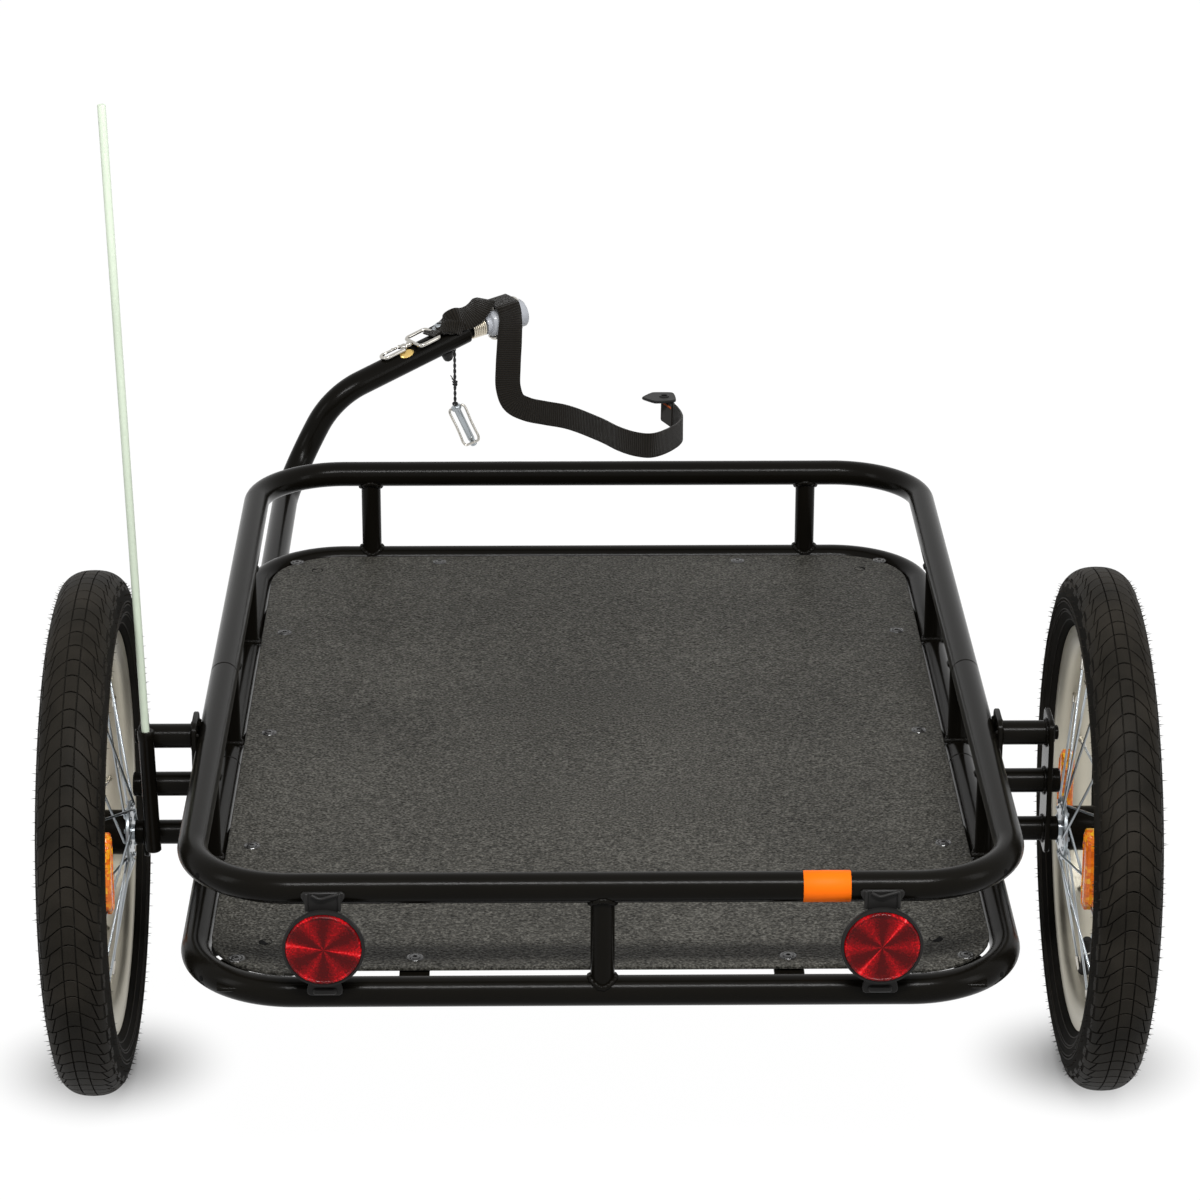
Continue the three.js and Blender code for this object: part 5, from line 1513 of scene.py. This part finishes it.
# Ring, snap hook and gate
RING_Z = 14.2
RING_NEAR = -35.5
RING_FAR = -59.5
RING_HALF = 15
HOOK_WIRE = 1.9
GATE_SIDE = 5.5


def by_ring(*places):
    """Points in the ring's plane, from places along and across the arm."""
    return [on_arm(x, y, RING_Z) for x, y in places]


ring_start = (RING_NEAR + RING_FAR) / 2, -RING_HALF
ring_corners = by_ring(
    ring_start, (RING_NEAR, -RING_HALF), (RING_NEAR, RING_HALF), (RING_FAR, RING_HALF),
    (RING_FAR, -RING_HALF), ring_start
)
ring = Shell()
ring.tube(bent(ring_corners, 4.5, 8)[:-1], HOOK_WIRE, 16, looped=True)
ring.build("snap_ring_wire", NICKEL, "frame", "snap_ring", slot="zinc_steel", sharp=60)
swivel_profile = [
    (-61.7, 0), (-61.7, 2.6), (-62.3, 3.2), (-65.6, 3.2), (-66.2, 2.5), (-68.0, 2.3), (-68.6, 3.4),
    (-71.6, 3.6), (-72.6, 3.0), (-73.6, 1.6), (-73.6, 0)
]
hook = Shell()
hook.lathe(swivel_profile, basis(ARM_LINE, ARM_SIDE, ARM_RISE, on_arm(0, 0, RING_Z)), 24)
for side in (-1, 1):
    lug = by_ring((-70.5, 0), (-72.2, side * 3.6), (-73.4, side * 5.2))
    hook.tube(smooth_path(lug, 5), 2.1, 14)
bow_corners = by_ring((-72.7, -GATE_SIDE), (-95.7, -GATE_SIDE), (-95.7, GATE_SIDE), (-90.6, GATE_SIDE))
bow = bent(bow_corners, 5.0, 12)
bow_radii = [HOOK_WIRE * (1 - 0.1 * (i / (len(bow) - 1)) ** 2) for i in range(len(bow))]
hook.tube(bow, HOOK_WIRE, 16, radii=bow_radii)
hook.build("snap_hook_bow", NICKEL, "frame", "snap_hook", slot="zinc_steel", sharp=50)
gate = Shell()
gate_bar = by_ring(*[(x, GATE_SIDE) for x in (-75.2, -76.0, -89.0, -89.9)])
gate.tube(gate_bar, 1.2, 16, radii=[0.9, 1.25, 1.25, 0.9])
gate_thumb = by_ring((-79.5, GATE_SIDE), (-79.5, 7.4), (-79.5, 8.2))
gate.tube(gate_thumb, 1.1, 12, radii=[1.1, 1.1, 0.8])
gate.build("snap_gate_bar", NICKEL, "gate", "snap_gate", slot="zinc_steel")

# Hitch pin with its wire bail
PIN_X = Vector((0.40776, 0, -0.913089))
PIN_Z = Vector((0.913089, 0, 0.40776))
PIN_FRAME = basis(PIN_X, Y_AXIS, PIN_Z, Vector((-0.12843, 0.603306, 0.236477)))


def on_pin(x, y, z):
    return PIN_FRAME @ (Vector((x, y, z)) * MM)


PIN_PROFILE = [
    (0, 0), (0, 3.6), (0.5, 4.6), (1.0, 5.0), (4.2, 5.0), (4.8, 4.7), (5.0, 4.0), (5.2, 3.4), (38.6, 3.4),
    (39.2, 2.9), (42.6, 2.9), (43.2, 3.4), (45.0, 3.4), (46.0, 2.4), (46.0, 0)
]
BAIL_ROUTE = [
    (2.5, 0, 5.1), (2.6, 0, 6.6), (4.4, -0.2, 8.0), (10, -1.0, 8.3), (20, -2.3, 7.9), (30, -3.5, 8.1),
    (38, -4.6, 8.2), (41.0, -5.0, 6.6), (41.3, -5.0, 3), (41.3, -5.0, -3), (41.0, -5.0, -6.6),
    (38, -4.6, -8.2), (30, -3.5, -8.0), (20, -2.3, -7.8), (10, -1.0, -8.2), (4.4, -0.2, -8.0),
    (2.6, 0, -6.6), (2.5, 0, -5.1)
]
pin = Shell()
pin.lathe(PIN_PROFILE, PIN_FRAME, 32)
hitch_pin = pin.build("hitch_pin_shank", ZINC, "frame", "hitch_pin", slot="zinc_steel")
bail = Shell()
bail.tube(smooth_path([on_pin(*place) for place in BAIL_ROUTE], 6), 1.3, 14)
pin_bail = bail.build("pin_bail_wire", NICKEL, "bail", "pin_bail", slot="zinc_steel", sharp=60)

# Floor, backdrop and light
FLOOR_HALF = 14
FLOOR_WHITE = 0.45
FLOOR_GLOW = 1.07
# How far the glow hides the lit floor: in the open, and where a wheel touches it. Near a contact the grey
# floor shows its real shadow and is darker than the open floor even where lit, which paints a shadow round
# each wheel.
OPEN_SHARE = 0.93
CONTACT_SHARE = 0.1
CONTACT_REACH = 0.11
WORLD_LIGHT = 0.26
floor_mesh = bpy.data.meshes.new("floor")
floor_corners = [(x * FLOOR_HALF, y * FLOOR_HALF, 0) for x, y in ((-1, -1), (1, -1), (1, 1), (-1, 1))]
floor_mesh.from_pydata(floor_corners, [], [(0, 1, 2, 3)])
floor = placed_object("floor", floor_mesh)
floor_material, floor_tree, floor_shader = node_material("floor_white", (FLOOR_WHITE,) * 3, 0.9)
settle(floor_shader, Specular_IOR_Level=0.0)
floor_glow = add(floor_tree, "ShaderNodeEmission", Color=(1, 1, 1, 1), Strength=FLOOR_GLOW)
floor_mix = floor_tree.nodes.new("ShaderNodeMixShader")


def seen_rays(tree):
    """1 for the rays that see things plainly: the camera's own, mirrored and through glass."""
    rays = tree.nodes.new("ShaderNodeLightPath").outputs
    plain = math_node(tree, "MAXIMUM", rays["Is Camera Ray"], rays["Is Glossy Ray"])
    return math_node(tree, "MAXIMUM", plain, rays["Is Transmission Ray"])


def near_contact(contact):
    """How near the floor is to a wheel's contact, from 1 at it to 0 at the shadow's reach."""
    gap = floor_tree.nodes.new("ShaderNodeVectorMath")
    gap.operation = "DISTANCE"
    feed(gap.inputs[0], coordinates(floor_tree))
    feed(gap.inputs[1], contact)
    faded = add(
        floor_tree, "ShaderNodeMapRange", Value=gap.outputs["Value"], From_Max=CONTACT_REACH, To_Min=1.0,
        To_Max=0.0
    )
    faded.interpolation_type = "SMOOTHSTEP"
    return faded.outputs["Result"]


contacts = [centre(f"{side_name}_tyre").xy.to_3d() for side_name, _ in SIDES]
# A painted shadow round each wheel's contact, over the real one
contact_shadow = math_node(floor_tree, "MAXIMUM", *[near_contact(contact) for contact in contacts])
glow = map_range(floor_tree, contact_shadow, OPEN_SHARE, CONTACT_SHARE)
glow_share = times(floor_tree, seen_rays(floor_tree), glow)
for socket, value in zip(floor_mix.inputs, (glow_share, floor_shader.outputs[0], floor_glow.outputs[0])):
    feed(socket, value)
settle(floor_tree.nodes["Material Output"], Surface=floor_mix.outputs[0])
floor_mesh.materials.append(floor_material)

world = bpy.data.worlds.new("studio")
bpy.context.scene.world = world
world.use_nodes = True
background = world.node_tree.nodes["Background"]
world_strength = map_range(world.node_tree, seen_rays(world.node_tree), WORLD_LIGHT, 1.0)
settle(background, Color=(1, 1, 1, 1), Strength=world_strength)


def lamp(name, place, target, width, height, power):
    data = bpy.data.lights.new(name, "AREA")
    data.shape = "RECTANGLE"
    data.size = width
    data.size_y = height
    data.energy = power
    made = placed_object(name, data)
    made.location = place
    made.rotation_euler = (Vector(target) - Vector(place)).to_track_quat("-Z", "Y").to_euler()


lamp("key", (0.25, -2.0, 2.45), (0, 0, 0.25), 1.7, 0.3, 86)
lamp("left_wing", (-2.6, -1.4, 1.5), (0, 0, 0.2), 0.7, 1.4, 12)
lamp("right_wing", (2.6, -1.4, 1.5), (0, 0, 0.2), 0.7, 1.4, 12)
